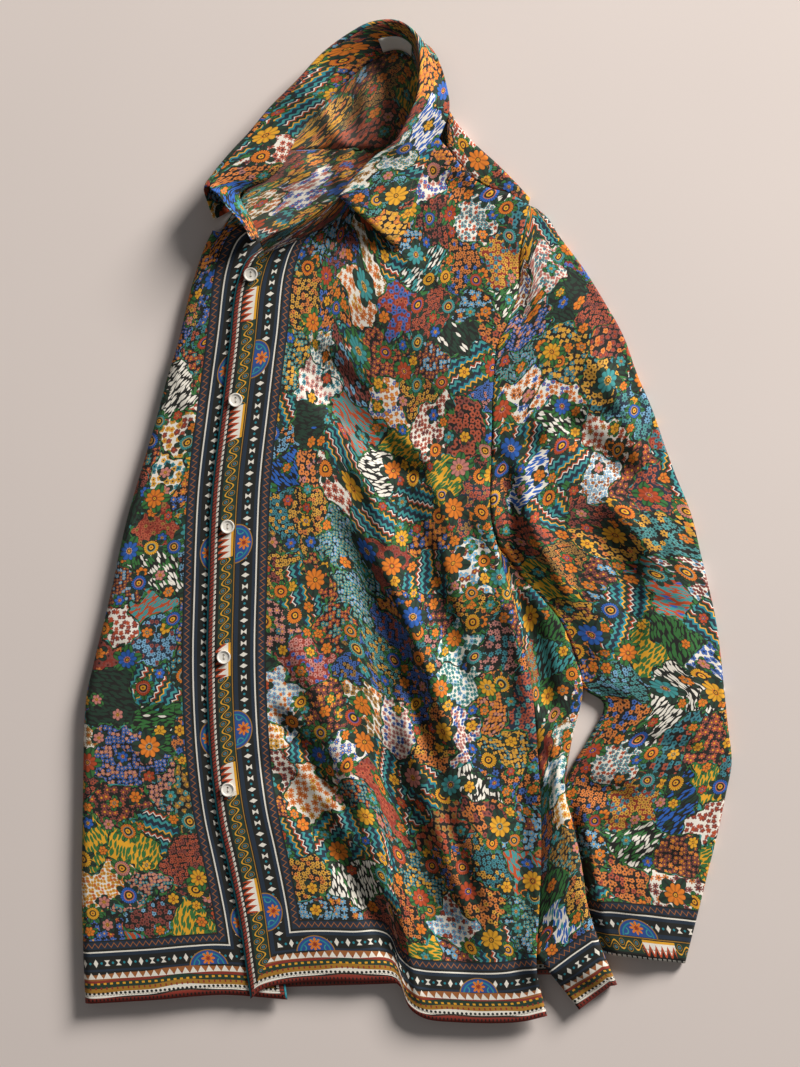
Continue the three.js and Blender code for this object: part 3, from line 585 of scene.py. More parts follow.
def sleeve_points():
    """A tube pressed flat up to the underarm, and from there up open along the armhole."""
    inner = Outline(SLEEVE_INNER).spaced(SLEEVE_ROWS) + armhole[1:]
    outer = Outline(SLEEVE_OUTER).spaced(SLEEVE_ROWS) + Outline(SLEEVE_CAP).spaced(ARMHOLE_ROWS)[1:]
    low = CLOTH / 2
    points = []
    for i, side in enumerate(inner):
        across = outer[i] - side
        width = across.length
        across.normalize()
        outer_edge = min(SLEEVE_EDGE, width * 0.5)
        inner_edge = mix(SLEEVE_EDGE, SLEEVE_PRESSED, pressed(side.x, side.y))
        tube = i <= SLEEVE_ROWS
        start = inner_edge / 2 if tube else 0
        span = width - start - outer_edge / 2
        row = []
        for j in range(SLEEVE_TOP_COLUMNS):
            off = span * j / SLEEVE_TOP_COLUMNS
            place = side + across * (start + off)
            from_inner = smooth(off / SLEEVE_EDGE_WIDTH) if tube else 1
            from_outer = smooth((span - off) / SLEEVE_EDGE_WIDTH)
            edge = low + mix(outer_edge, inner_edge, from_outer)
            place.z = mix(edge, sleeve_height(place.x, place.y), from_inner * from_outer)
            row.append(place)
        row += roll(outer[i], -across, low, low + outer_edge)[::-1]
        for j in range(1, SLEEVE_UNDER_COLUMNS + 1):
            place = outer[i] - across * (outer_edge / 2 + span * j / SLEEVE_UNDER_COLUMNS)
            row.append(Vector((place.x, place.y, low)))
        row += roll(side, across, low, low + inner_edge)[1:]
        points.append(row)
    return points


def folded_points():
    """The cloth folded behind, in runs that turn back at the left edge and at its hidden right edge."""
    rows, run_steps, turn_steps, runs = 70, 10, 4, 6
    lip_top, right_end = 652, 0.42
    points = []
    for i, left in enumerate(Outline(FOLDED_LEFT).spaced(rows)):
        y = left.y
        right_x = folded_end(y) - FOLDED_TAPER * right_end
        lip_x = min(max(crossing(FOLD_EDGE, y) + TURN_UNDER + 8, left.x + 4), right_x - 6)
        uneven = 0.8 * noise.noise(Vector((y / 30, 2.0, 5.0)))

        def level(x, share):
            on_lip = 1.9 if y < lip_top else 0.6
            floor = mix(on_lip, 0.4, smooth((x - lip_x) / 6))
            ceiling = back_height(x, y) - CLOTH / 2 - 1.1
            return mix(floor, max(ceiling, floor + 0.4), share)

        row = []
        for run in range(runs):
            share = (run + 0.5) / runs
            leftward = run % 2 == 0
            inset = 2.2 * uneven * (run // 2 - 1) + 0.5
            for k in range(run_steps):
                part = k / run_steps
                x = mix(right_x, left.x + inset, part if leftward else 1 - part)
                row.append(Vector((x, y + (run // 2) * 1.2, level(x, share))))
            if leftward:
                for k in range(turn_steps):
                    angle = math.pi * k / turn_steps
                    x = left.x + inset - 0.6 * math.sin(angle)
                    turn = share + (1 - math.cos(angle)) / 2 / runs
                    row.append(Vector((x, y + (run // 2) * 1.2, level(x, turn))))
        points.append(row)
    return points


# The collar

collar_foot = []
collar_top = []
leaf_edge = []
for k, (foot_x, foot_y, top_x, top_y, rise, *leaf) in enumerate(COLLAR):
    on_front = smooth((k - NECK_BACK) / (LEAF_ON_FRONT - NECK_BACK))
    below = mix(neck_height(foot_x, foot_y), front_height(foot_x, foot_y), on_front)
    foot_z = below + (CLOTH if k < LEAF_FIRST else 0) + STAND_LIFT
    collar_foot.append(Vector((foot_x, foot_y, foot_z)))
    collar_top.append(Vector((top_x, top_y, foot_z + rise)))
    if leaf:
        x, y, z = leaf
        leaf_edge.append(Vector((x, y, front_height(x, y) + LEAF_LIFT if k >= LEAF_ON_FRONT else z)))


def stand_point(place, share):
    """A point of the collar stand, at a row of the table and a share of its height."""
    point = spline(collar_foot, place).lerp(spline(collar_top, place), share)
    point.z += STAND_SWELL * math.sin(math.pi * share)
    return point


def stand_points():
    rows, columns = 12, 6 * (len(COLLAR) - 1)
    last = len(COLLAR) - 1
    return [[stand_point(last * j / columns, i / rows) for j in range(columns + 1)]
        for i in range(rows + 1)]


def leaf_points():
    """From the top of the stand the leaf rolls outward and comes down."""
    rows, columns = 26, 6 * (LEAF_LAST - LEAF_FIRST)
    rests_from = 14.5
    lines = []
    for j in range(columns + 1):
        place = LEAF_FIRST + (LEAF_LAST - LEAF_FIRST) * j / columns
        top = stand_point(place, 1)
        along = (top - stand_point(place, 0.8)).normalized()
        end = spline(leaf_edge, place - LEAF_FIRST)
        outward = top - stand_point(place, 0)
        outward.z = 0
        outward.normalize()
        on_front = smooth((place - NECK_BACK) / 3)
        away = Vector((end.x - top.x, end.y - top.y, 0))
        first = top + along * 8 + away.normalized() * (3.5 * on_front)
        over_front = top + away * 0.5
        over_front.z = end.z + 5
        beneath = top + outward * 6
        beneath.z = end.z - 1
        second = beneath.lerp(over_front, on_front)
        line = []
        for i in range(rows + 1):
            t = i / rows
            point = (top * (1 - t) ** 3 + first * (3 * t * (1 - t) ** 2) + second * (3 * t * t * (1 - t))
                + end * t ** 3)
            if place > rests_from and i > 0:
                point.z = max(point.z, front_height(point.x, point.y) + LEAF_LIFT)
            line.append(point)
        lines.append(line)
    return [[line[i] for line in lines] for i in range(rows + 1)]


def label_points():
    """A strip of woven tape on the inside of the stand, at the back of the neck."""
    first, last, low, high = 12, 14, 0.12, 0.55
    rows, columns = 6, 14
    points = []
    for i in range(rows + 1):
        share = mix(low, high, i / rows)
        row = []
        for j in range(columns + 1):
            place = mix(first, last, j / columns)
            point = stand_point(place, share)
            along = stand_point(place + 0.1, share) - point
            up = stand_point(place, share + 0.1) - point
            curl = 0.5 * (2 * j / columns - 1) ** 4
            row.append(point + along.cross(up).normalized() * (0.9 + curl))
        points.append(row)
    return points


# Cloth meshes


def lengths(line):
    """How far each point lies along a line."""
    found = [0.0]
    for a, b in zip(line, line[1:]):
        found.append(found[-1] + (b - a).length)
    return found


def cloth_mesh(name, points, keep=None, front_side="left", stitched=(), dipped=()):
    """A grid of cloth whose vertices are moved to the points. Its first UV map is the place on the flat
    cut, in metres from the front edge and from the hem, and its second one the distance from the nearest
    stitched side and the way along it."""
    rows, columns = len(points) - 1, len(points[0]) - 1
    across = [lengths(row) for row in points]
    up = [lengths(column) for column in zip(*points)]

    def distance(side, i, j):
        return {
            "left": across[i][j],
            "right": across[i][columns] - across[i][j],
            "bottom": up[j][i],
            "top": up[j][rows] - up[j][i],
        }[side]

    shape = bmesh.new()
    bmesh.ops.create_grid(shape, x_segments=columns, y_segments=rows, size=0.5)
    cut = shape.loops.layers.uv.new("Cut")
    seams = shape.loops.layers.uv.new("Seams")
    places = {}
    for vertex in shape.verts:
        i = round((vertex.co.y + 0.5) * rows)
        j = round((vertex.co.x + 0.5) * columns)
        places[vertex] = (i, j)
        dip = max((math.exp(-((distance(side, i, j) / SEAM_DIP_WIDTH) ** 2)) for side in dipped),
            default=0)
        point = points[i][j] - Vector((0, 0, SEAM_DIP_DEPTH * dip))
        vertex.co = point * MM + SHIFT
    dropped = []
    for face in shape.faces:
        for loop in face.loops:
            i, j = places[loop.vert]
            loop[cut].uv = (distance(front_side, i, j) * MM, up[j][i] * MM)
            near = min(stitched, key=lambda side: distance(side, i, j), default=None)
            if near:
                runs = up[j][i] if near in ("left", "right") else across[i][j]
                loop[seams].uv = (distance(near, i, j) * MM, runs * MM)
            else:
                loop[seams].uv = (1, 0)
        corner = [places[vertex] for vertex in face.verts]
        if keep and not keep(min(i for i, _ in corner), min(j for _, j in corner)):
            dropped.append(face)
    bmesh.ops.delete(shape, geom=dropped, context="FACES")
    bmesh.ops.remove_doubles(shape, verts=shape.verts, dist=0.00001)
    return add_mesh(name, shape)


def add_mesh(name, shape):
    """Puts a bmesh into the scene as an object at the origin, with smooth faces."""
    data = bpy.data.meshes.new(name)
    for face in shape.faces:
        face.smooth = True
    shape.to_mesh(data)
    shape.free()
    made = bpy.data.objects.new(name, data)
    bpy.context.scene.collection.objects.link(made)
    return made


def thicken(piece, thickness):
    """Gives a sheet its thickness, half of it on each side."""
    wall = piece.modifiers.new("Thickness", "SOLIDIFY")
    wall.thickness = thickness
    wall.offset = 0
    return wall


def finish_cloth(piece, thickness, face, reverse, node):
    """Gives printed cloth its thickness and finishes and lets it stand for its solid."""
    piece.data.materials.append(face)
    piece.data.materials.append(reverse)
    wall = thicken(piece, thickness)
    wall.material_offset = 1
    wall.material_offset_rim = 0
    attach(piece, "root")
    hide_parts(node)


# Shader nodes


def sign(operation, swapped=False):
    """A method of Wire that puts an output and another value into a math node."""
    def work_out(self, other):
        pair = (other, self) if swapped else (self, other)
        return self.graph.number(operation, *pair)
    return work_out


class Wire:
    """An output of a shader node, which can be used in sums as a number can."""

    def __init__(self, graph, socket):
        self.graph = graph
        self.socket = socket

    __add__, __radd__ = sign("ADD"), sign("ADD", swapped=True)
    __sub__, __rsub__ = sign("SUBTRACT"), sign("SUBTRACT", swapped=True)
    __mul__, __rmul__ = sign("MULTIPLY"), sign("MULTIPLY", swapped=True)
    __truediv__ = sign("DIVIDE")
    __gt__ = sign("GREATER_THAN")
    __lt__ = sign("LESS_THAN")

    def __abs__(self):
        return self.graph.number("ABSOLUTE", self)

    def part(self):
        """The fraction left over, from 0 to 1."""
        return self.graph.number("FRACT", self)

    def between(self, low, high):
        return (self > low) * (self < high)


class Graph:
    """Adds nodes to a node tree and hands back their outputs as wires."""

    def __init__(self, tree):
        self.tree = tree
        self.count = 0

    def node(self, kind, *values, **settings):
        """A new node with its settings made and its first inputs fed."""
        made = self.tree.nodes.new(kind)
        made.location = (self.count // 14 * 200, -(self.count % 14) * 180)
        self.count += 1
        for name, value in settings.items():
            setattr(made, name, value)
        for socket, value in zip(made.inputs, values):
            self.feed(socket, value)
        return made

    def feed(self, socket, value):
        if isinstance(value, Wire):
            self.tree.links.new(value.socket, socket)
        elif value is not None:
            socket.default_value = value

    def number(self, operation, *values):
        return Wire(self, self.node("ShaderNodeMath", *values, operation=operation).outputs[0])

    def vector(self, operation, *values, scale=None):
        made = self.node("ShaderNodeVectorMath", *values, operation=operation)
        if scale is not None:
            self.feed(made.inputs["Scale"], scale)
        return Wire(self, made.outputs["Value" if operation == "LENGTH" else "Vector"])

    def split(self, value):
        return [Wire(self, socket) for socket in self.node("ShaderNodeSeparateXYZ", value).outputs]

    def join(self, x, y, z=0.0):
        return Wire(self, self.node("ShaderNodeCombineXYZ", x, y, z).outputs[0])

    def noise(self, point, scale, detail=2.0, output=0):
        made = self.node("ShaderNodeTexNoise", point, noise_dimensions="2D")
        self.feed(made.inputs["Scale"], scale)
        made.inputs["Detail"].default_value = detail
        return Wire(self, made.outputs[output])

    def drift(self, point, scale, reach):
        """The point moved about by noise, up to half the reach each way."""
        off = self.vector("SUBTRACT", self.noise(point, scale, output="Color"), (0.5, 0.5, 0.5))
        return self.vector("ADD", point, self.vector("SCALE", off, scale=reach))

    def cells(self, point, feature="F1", randomness=1.0):
        """The cells round scattered seeds, as outputs by name: Color holds random numbers for a cell and
        Position its seed."""
        made = self.node("ShaderNodeTexVoronoi", point, voronoi_dimensions="2D", feature=feature)
        made.inputs["Scale"].default_value = 1
        made.inputs["Randomness"].default_value = randomness
        return {socket.name: Wire(self, socket) for socket in made.outputs}

    def choose(self, value, stops):
        """One of several colours, each from its stop up to the next one."""
        made = self.node("ShaderNodeValToRGB", value)
        ramp = made.color_ramp
        ramp.interpolation = "CONSTANT"
        ramp.elements.remove(ramp.elements[1])
        ramp.elements[0].color = (*stops[0][1], 1)
        for place, colour in stops[1:]:
            ramp.elements.new(place).color = (*colour, 1)
        return Wire(self, made.outputs[0])

    def blend(self, share, under, over):
        made = self.node("ShaderNodeMix", data_type="RGBA")
        for name, value in (("Factor", share), ("A", under), ("B", over)):
            sockets = [s for s in made.inputs if s.name == name and s.enabled]
            if isinstance(value, tuple):
                value = (*value[:3], 1)
            self.feed(sockets[0], value)
        return Wire(self, next(s for s in made.outputs if s.enabled))

    def paint(self, colour, *coats):
        """The colour with each coat laid over it as far as the coat's share says."""
        for share, coat in coats:
            colour = self.blend(share, colour, coat)
        return colour

    def turned(self, point, angle):
        made = self.node("ShaderNodeVectorRotate", point, rotation_type="Z_AXIS")
        self.feed(made.inputs["Angle"], angle)
        return Wire(self, made.outputs[0])

    def cut_place(self, uv_map):
        """The place on one of the cloth's UV maps, in millimetres."""
        made = self.node("ShaderNodeUVMap", uv_map=uv_map)
        return self.vector("SCALE", Wire(self, made.outputs[0]), scale=1000.0)

    def cloud(self, scale, detail):
        """Noise that lies still on the object."""
        made = self.node("ShaderNodeTexCoord")
        return self.noise(Wire(self, made.outputs["Object"]), scale, detail)

    def finish(self, **wires):
        """Gives a group its outputs, of which Color is a colour, and returns the group."""
        for name in wires:
            kind = "NodeSocketColor" if name == "Color" else "NodeSocketFloat"
            self.tree.interface.new_socket(name, in_out="OUTPUT", socket_type=kind)
        self.node("NodeGroupOutput", *wires.values())
        return self.tree


def new_group(name, inputs):
    """The graph of a new shader node group and its inputs as wires. An input without a number is a
    place."""
    tree = bpy.data.node_groups.new(name, "ShaderNodeTree")
    for label, number in inputs.items():
        kind = "NodeSocketVector" if number is None else "NodeSocketFloat"
        socket = tree.interface.new_socket(label, in_out="INPUT", socket_type=kind)
        if number is not None:
            socket.default_value = number
    graph = Graph(tree)
    entry = graph.node("NodeGroupInput")
    return graph, {label: Wire(graph, entry.outputs[label]) for label in inputs}


def use_group(graph, tree, values):
    """Places a group with its values and returns its outputs by name."""
    made = graph.node("ShaderNodeGroup", node_tree=tree)
    for label, value in values.items():
        graph.feed(made.inputs[label], value)
    return {socket.name: Wire(graph, socket) for socket in made.outputs}


# A full turn, the shares of the beds that hold leaves or stripes, and a hedge's width in beds
TURN = 6.283
LEAF_BEDS = 0.17
STRIPE_BEDS = 0.09
HEDGE_WIDTH = 0.032

# Sizes of the print in millimetres, and the scrolls' wave in radians for each millimetre
BED_SIZE = 36
SCROLL_MIDDLE = 16
SCROLL_WAVE = 0.5236
MARK_MIDDLE = 32.4
MARK_STEP = 9.2
MEDAL_STEP = 151
MEDAL_FLOWER = 30.5
HEM_STRIPES = 25.6
BORDER_WIDTH = 50.8


def hexed(code):
    """A linear colour from a hex one."""
    found = []
    for k in (0, 2, 4):
        value = int(code[k:k + 2], 16) / 255
        found.append(value / 12.92 if value <= 0.04045 else ((value + 0.055) / 1.055) ** 2.4)
    return tuple(found)


def blossoms_group():
    """Scattered flowers: where their petals and their dark outlines are, how far out a point lies on
    its flower, how near the middle of a petal, and random numbers for each flower."""
    g, given = new_group("Blossoms", {"Point": None, "Cell": 20, "Radius": 6, "Petals": 6, "Depth": 0.3,
        "Share": 0.5, "Outline": 0.5})
    point = g.vector("DIVIDE", given["Point"], g.join(given["Cell"], given["Cell"], 1.0))
    seeds = g.cells(point, randomness=0.6)
    colour, seed = seeds["Color"], seeds["Position"]
    local = g.vector("SCALE", g.vector("SUBTRACT", point, seed), scale=given["Cell"])
    x, y, _ = g.split(local)
    pick, tone, spin = g.split(colour)
    angle = g.number("ARCTAN2", y, x) + spin * TURN
    ridge = g.number("POWER", abs(g.number("COSINE", angle * given["Petals"] * 0.5)), 0.7)
    reach = given["Radius"] * (0.72 + 0.28 * tone) * (1 - given["Depth"] * (1 - ridge))
    out = g.vector("LENGTH", g.join(x, y)) / reach
    shown = (spin * 7.31).part() < given["Share"]
    petal = (out < 1) * shown
    edge = (out < 1 + given["Outline"] / reach) * shown
    return g.finish(Petal=petal, Edge=edge, Out=out, Ridge=ridge, Pick=pick, Tone=tone)


def leaves_group():
    """Narrow leaves that lie one way: where they are and a random number for each."""
    g, given = new_group("Leaves", {"Point": None, "Turn": 0, "Width": 2.4, "Length": 6.5})
    size = g.join(given["Width"], given["Length"], 1.0)
    point = g.vector("DIVIDE", g.turned(given["Point"], given["Turn"]), size)
    seeds = g.cells(point, randomness=0.85)
    colour, seed = seeds["Color"], seeds["Position"]
    x, y, _ = g.split(g.vector("SUBTRACT", point, seed))
    pick, tone, _ = g.split(colour)
    lean = x + y * (tone - 0.5) * 0.9
    rib = abs(lean) / (0.42 * (1.001 - g.number("MINIMUM", y * y * 3.6, 1.0)))
    return g.finish(Leaf=rib < 1, Pick=pick)


def print_group(look, blossoms, leaves):
    """The cloth's flowered ground: beds of small florets and leaves, and larger flowers on them."""
    g, given = new_group("Flowered print", {"Point": None})
    point = g.drift(given["Point"], 0.09, 2.6)
    bed_point = g.vector("SCALE", g.drift(point, 0.045, 26), scale=1 / BED_SIZE)
    border = g.cells(bed_point, feature="DISTANCE_TO_EDGE")["Distance"]
    kind, hue, size = g.split(g.cells(bed_point)["Color"])

    petals = [look.rust, look.gold, look.cobalt, look.orange, look.aqua, look.brick, look.orange,
        look.rose, look.gold, look.sky, look.rust, look.cobalt, look.teal, look.orange, look.brick,
        look.mustard]
    stops = [(k / len(petals), colour) for k, colour in enumerate(petals)]
    first = g.choose(kind, stops)
    second = g.choose((kind + 0.29).part(), stops)
    ground = g.choose(hue, [(0, look.night), (0.28, look.cream), (0.42, look.night), (0.58, look.brick),
        (0.66, look.night), (0.74, look.cream), (0.84, look.night), (0.93, look.navy)])
    # Each style holds a floret's cell in centimetres, its petals' depth and a tenth of its petals
    style = g.choose(size, [(0, (0.36, 0.45, 0.5)), (0.2, (0.28, 0.2, 0.4)), (0.38, (0.46, 0.4, 0.5)),
        (0.52, (0.58, 0.6, 0.7)), (0.72, (0.4, 0.5, 0.6)), (0.88, (0.52, 0.3, 0.5))])
    cell, depth, count = g.split(style)

    floret = use_group(g, blossoms, {"Point": point, "Cell": cell * 10, "Radius": cell * 6.1,
        "Petals": count * 10, "Depth": depth, "Share": 1.0, "Outline": 0.1})
    tint = g.blend(floret["Pick"] > 0.72, first, second)
    tint = g.paint(tint,
        ((floret["Out"] > 0.5) * 0.06, look.cream),
        (floret["Tone"] * 0.3, look.night))
    colour = g.blend(floret["Petal"], ground, tint)
    eye = g.choose(hue, [(0, look.gold), (0.3, look.rust), (0.46, look.night), (0.72, look.navy)])
    colour = g.blend(floret["Out"] < 0.3, colour, eye)

    blade = use_group(g, leaves, {"Point": point, "Turn": kind * TURN, "Width": 2.5, "Length": 7.0})
    blade_colour = g.choose((hue + blade["Pick"] * 0.06).part(), [(0, look.leaf), (0.36, look.cream),
        (0.46, look.aqua), (0.64, look.cobalt), (0.78, look.leaf_dark), (0.9, look.cream)])
    blade_ground = g.choose(hue, [(0, look.gold), (0.22, look.night), (0.5, look.rust),
        (0.6, look.cream), (0.68, look.night)])
    bed_of_leaves = g.blend(blade["Leaf"], blade_ground, blade_colour)
    colour = g.blend((size * 3.7).part() < LEAF_BEDS, colour, bed_of_leaves)

    stripe_x, stripe_y, _ = g.split(g.turned(point, kind * 3.0))
    saw = abs((stripe_x / 5.5).part() - 0.5) * 5
    stripes = g.choose(((stripe_y + saw) / 17).part(), [(0, look.navy), (0.2, look.teal),
        (0.34, look.gold), (0.42, look.leaf_dark), (0.6, look.rust), (0.68, look.cream),
        (0.74, look.navy), (0.86, look.aqua)])
    colour = g.blend((size * 5.3).part() < STRIPE_BEDS, colour, stripes)

    hedge = use_group(g, leaves, {"Point": point, "Turn": kind * 9.0, "Width": 3.4, "Length": 8.5})
    hedge_colour = g.blend(hedge["Leaf"], look.night, g.choose(hedge["Pick"], [(0, look.leaf),
        (0.55, look.leaf_dark), (0.85, look.aqua)]))
    colour = g.blend(border < HEDGE_WIDTH, colour, hedge_colour)

    relief = floret["Petal"] * 0.3
    layers = [
        # cell, leaf radius, leaf count, leaf depth, radius, petals, depth, share, inner share, offset
        (17, 8.0, 4, 0.72, 5.0, 6, 0.36, 0.4, 0.3, 40),
        (29, 11.5, 7, 0.62, 7.0, 22, 0.16, 0.34, 0.56, 170),
        (44, 15.0, 5, 0.66, 9.4, 9, 0.32, 0.5, 0.27, 410),
    ]
    bloom_stops = [(0, look.orange), (0.2, look.gold), (0.36, look.rust), (0.5, look.aqua),
        (0.62, look.orange), (0.74, look.cobalt), (0.84, look.rose), (0.92, look.gold)]
    for cell_mm, leaf_radius, leaf_count, leaf_depth, *flower in layers:
        radius, count, depth, share, inner, offset = flower
        moved = g.vector("ADD", point, (offset, offset * 1.7, 0))
        under = use_group(g, blossoms, {"Point": moved, "Cell": cell_mm, "Radius": leaf_radius,
            "Petals": leaf_count, "Depth": leaf_depth, "Share": share, "Outline": 0.4})
        vein = under["Ridge"] > 0.985
        green = g.blend(under["Tone"] > 0.5, look.leaf, look.leaf_dark)
        green = g.blend(vein * 0.7, green, look.night)
        colour = g.paint(colour,
            (under["Edge"], look.night),
            (under["Petal"], green))
        bloom = use_group(g, blossoms, {"Point": moved, "Cell": cell_mm, "Radius": radius,
            "Petals": count, "Depth": depth, "Share": share, "Outline": 0.55})
        petal = g.choose(bloom["Pick"], bloom_stops)
        deeper = g.choose((bloom["Pick"] + 0.4).part(), bloom_stops)
        shade = (1 - bloom["Ridge"]) * 0.55 * (bloom["Out"] > 0.3)
        petal = g.paint(petal,
            (shade, look.night),
            ((bloom["Out"] < inner + 0.1) * 0.75, deeper),
            (bloom["Out"] < inner, look.night),
            (bloom["Out"] < inner * 0.62, look.gold),
            (bloom["Out"] < inner * 0.26, look.brick))
        colour = g.paint(colour,
            (bloom["Edge"], look.night),
            (bloom["Petal"], petal))
        relief = relief + bloom["Petal"] * 0.4
    return g.finish(Color=colour, Relief=relief)


def centred(value, step):
    """How far a value lies from the middle of its step."""
    return ((value / step).part() - 0.5) * step


def peaks(value, step):
    """A zigzag that falls from 1 to 0 and climbs back in each step."""
    return abs((value / step).part() - 0.5) * 2


def border_group(look):
    """The scarf border: bands that run along an edge, worked out from the distance from that edge and
    the way along it, both in millimetres."""
    g, given = new_group("Scarf border", {"Edge": 0, "Along": 0, "Hem": 0})
    edge, along = given["Edge"], given["Along"]
    bands = [(0, look.teal), (1.2, look.night), (1.9, look.brick), (5.6, look.cream), (7.6, look.night),
        (10.2, look.leaf_dark), (21.6, look.night), (22.3, look.mustard), (23.2, look.night),
        (24, look.navy), (27.2, look.night), (37.8, look.navy), (40.6, look.cream), (41.9, look.night),
        (43.6, look.navy), (49.6, look.night)]
    colour = g.choose(edge / 60, [(place / 60, tone) for place, tone in bands])

    tick = (along / 2.9).part() < 0.34
    colour = g.blend(edge.between(1.9, 5.6) * tick, colour, look.night)
    tooth = peaks(along, 4.2)
    colour = g.blend(edge.between(5.6, 9.6) * (tooth > 0.55 + (9.6 - edge) * 0.06), colour, look.night)

    # Scrolls: a wave with a dark oval in each of its bays
    wave = SCROLL_MIDDLE + 3.2 * g.number("SINE", along * SCROLL_WAVE)
    side = g.number("SIGN", g.number("SINE", along * SCROLL_WAVE))
    scroll = abs(edge - wave)
    bay_x = centred(along, 6)
    bay_y = edge - SCROLL_MIDDLE + side * 2.3
    oval = g.vector("LENGTH", g.join(bay_x / 1.9, bay_y / 2.4))
    on_scrolls = edge.between(10.4, 21.6)
    colour = g.paint(colour,
        (on_scrolls * (oval < 1.2), look.mustard),
        (on_scrolls * (oval < 0.95), look.night),
        (on_scrolls * (oval < 0.62), look.teal),
        (on_scrolls * (oval < 0.3), look.brick),
        (on_scrolls * (scroll < 0.62), look.gold))

    # Every so often a stretch of rungs takes the scrolls' place
    stretch = (along / 97).part()
    rungs = stretch.between(0.64, 0.92) * edge.between(8.8, 21.6)
    rung = peaks(along, 5.0)
    teeth = g.blend(edge < 10.2, look.cream, look.night)
    teeth = g.paint(teeth,
        (rung < (18.5 - edge) * 0.13, look.rust),
        (rung < (14.5 - edge) * 0.13, look.night),
        (edge > 19.6, look.gold))
    colour = g.blend(rungs, colour, teeth)

    # Lozenges and dots on the navy band
    lozenge_x = centred(along, MARK_STEP)
    lozenge = abs(lozenge_x) / 1.9 + abs(edge - MARK_MIDDLE) / 3.4
    waist = abs(edge - MARK_MIDDLE) * 0.8 + 0.35
    bow = (abs(lozenge_x) < waist) * (abs(edge - MARK_MIDDLE) < 2.3)
    dot_x = ((along / MARK_STEP + 0.5).part() - 0.5) * MARK_STEP
    dot = g.vector("LENGTH", g.join(dot_x, edge - MARK_MIDDLE))
    marks = ((along / 36.8).part() < 0.5) * (lozenge < 1) + ((along / 36.8).part() > 0.5) * bow
    colour = g.paint(colour,
        (marks, look.cream),
        (dot < 1.0, look.teal))

    # Half-round medallions with a small flower
    medal_x = ((along / MEDAL_STEP).part() - 0.4) * MEDAL_STEP
    medal = g.vector("LENGTH", g.join(medal_x / 15, (edge - 24) / 13))
    on_medal = edge.between(23.6, 40)
    colour = g.paint(colour,
        (on_medal * (medal < 1.06), look.mustard),
        (on_medal * (medal < 1), look.cobalt_deep),
        (on_medal * medal.between(0.78, 0.86), look.teal))
    spoke = g.number("ARCTAN2", medal_x, edge - MEDAL_FLOWER)
    lobe = abs(g.number("COSINE", spoke * 4))
    flower = g.vector("LENGTH", g.join(medal_x, edge - MEDAL_FLOWER)) / (2.2 + 3.4 * lobe)
    colour = g.paint(colour,
        (on_medal * (flower < 1), look.orange),
        (on_medal * (flower < 0.4), look.brick))
    sprig_x = abs(medal_x) - 10
    sprig = abs(g.vector("LENGTH", g.join(sprig_x, edge - 27.6)) - 2.6)
    colour = g.blend(on_medal * (sprig < 0.5) * (medal < 0.74), colour, look.aqua)

    zigzag = abs(abs((along / 5.2).part() - 0.5) * 7.2 + 45 - edge)
    colour = g.blend((zigzag < 0.5) * edge.between(44.4, 49.2), colour, look.tan)

    # Along the hem, plain and toothed stripes take the place of the scrolls
    sway = g.number("SINE", along * 0.055) * 1.3 + g.number("SINE", along * 0.13) * 0.6
    stripes = g.choose((edge + sway * (edge > 4.0)) / 30, [(place / 30, tone) for place, tone in [
        (0, look.brick), (4.0, look.night), (5.4, look.cream), (9.4, look.mustard),
        (13.2, look.leaf_dark), (17.6, look.brick), (19.6, look.tan), (24.6, look.night)]])
    stripes = g.blend(edge.between(1.4, 3.4) * ((along / 3.1).part() < 0.4), stripes, look.night)
    dots = g.vector("LENGTH", g.join(centred(along, 3.6), edge - 7.7))
    stripes = g.blend(dots < 1.1, stripes, look.night)
    fangs = peaks(along, 6.4)
    stripes = g.paint(stripes,
        (edge.between(19.6, 24.6) * (fangs < (24.8 - edge) * 0.19), look.cream),
        (edge.between(10.8, 12.8) * ((along / 4.4).part() < 0.3), look.brick),
        (edge.between(14.8, 16.4) * ((along / 5.2).part() < 0.45), look.gold))
    colour = g.blend(given["Hem"] * (edge < HEM_STRIPES), colour, stripes)
    return g.finish(Color=colour, Mask=edge < BORDER_WIDTH)


def stitch_group():
    """A row of machine stitches at a distance from a seam, all in millimetres."""
    g, given = new_group("Stitches", {"Across": 0, "Along": 0, "Row": 5})
    off = abs(given["Across"] - given["Row"])
    step = abs((given["Along"] / 2.4).part() - 0.5)
    return g.finish(Thread=(off < 0.28) * (step < 0.36), Pull=g.number("MAXIMUM", 1 - off / 1.1, 0.0))


def weave_group():
    """Fine cotton threads, and the slight slubs in them."""
    g, given = new_group("Weave", {"Point": None})
    x, y, _ = g.split(given["Point"])
    warp = g.number("SINE", x * 15.7)
    weft = g.number("SINE", y * 15.7)
    slub = g.noise(g.vector("MULTIPLY", given["Point"], (1.6, 0.25, 1)), 1.0, 2.0)
    return g.finish(Height=warp * weft * 0.35 + slub, Wear=g.noise(given["Point"], 0.035, 3.0))


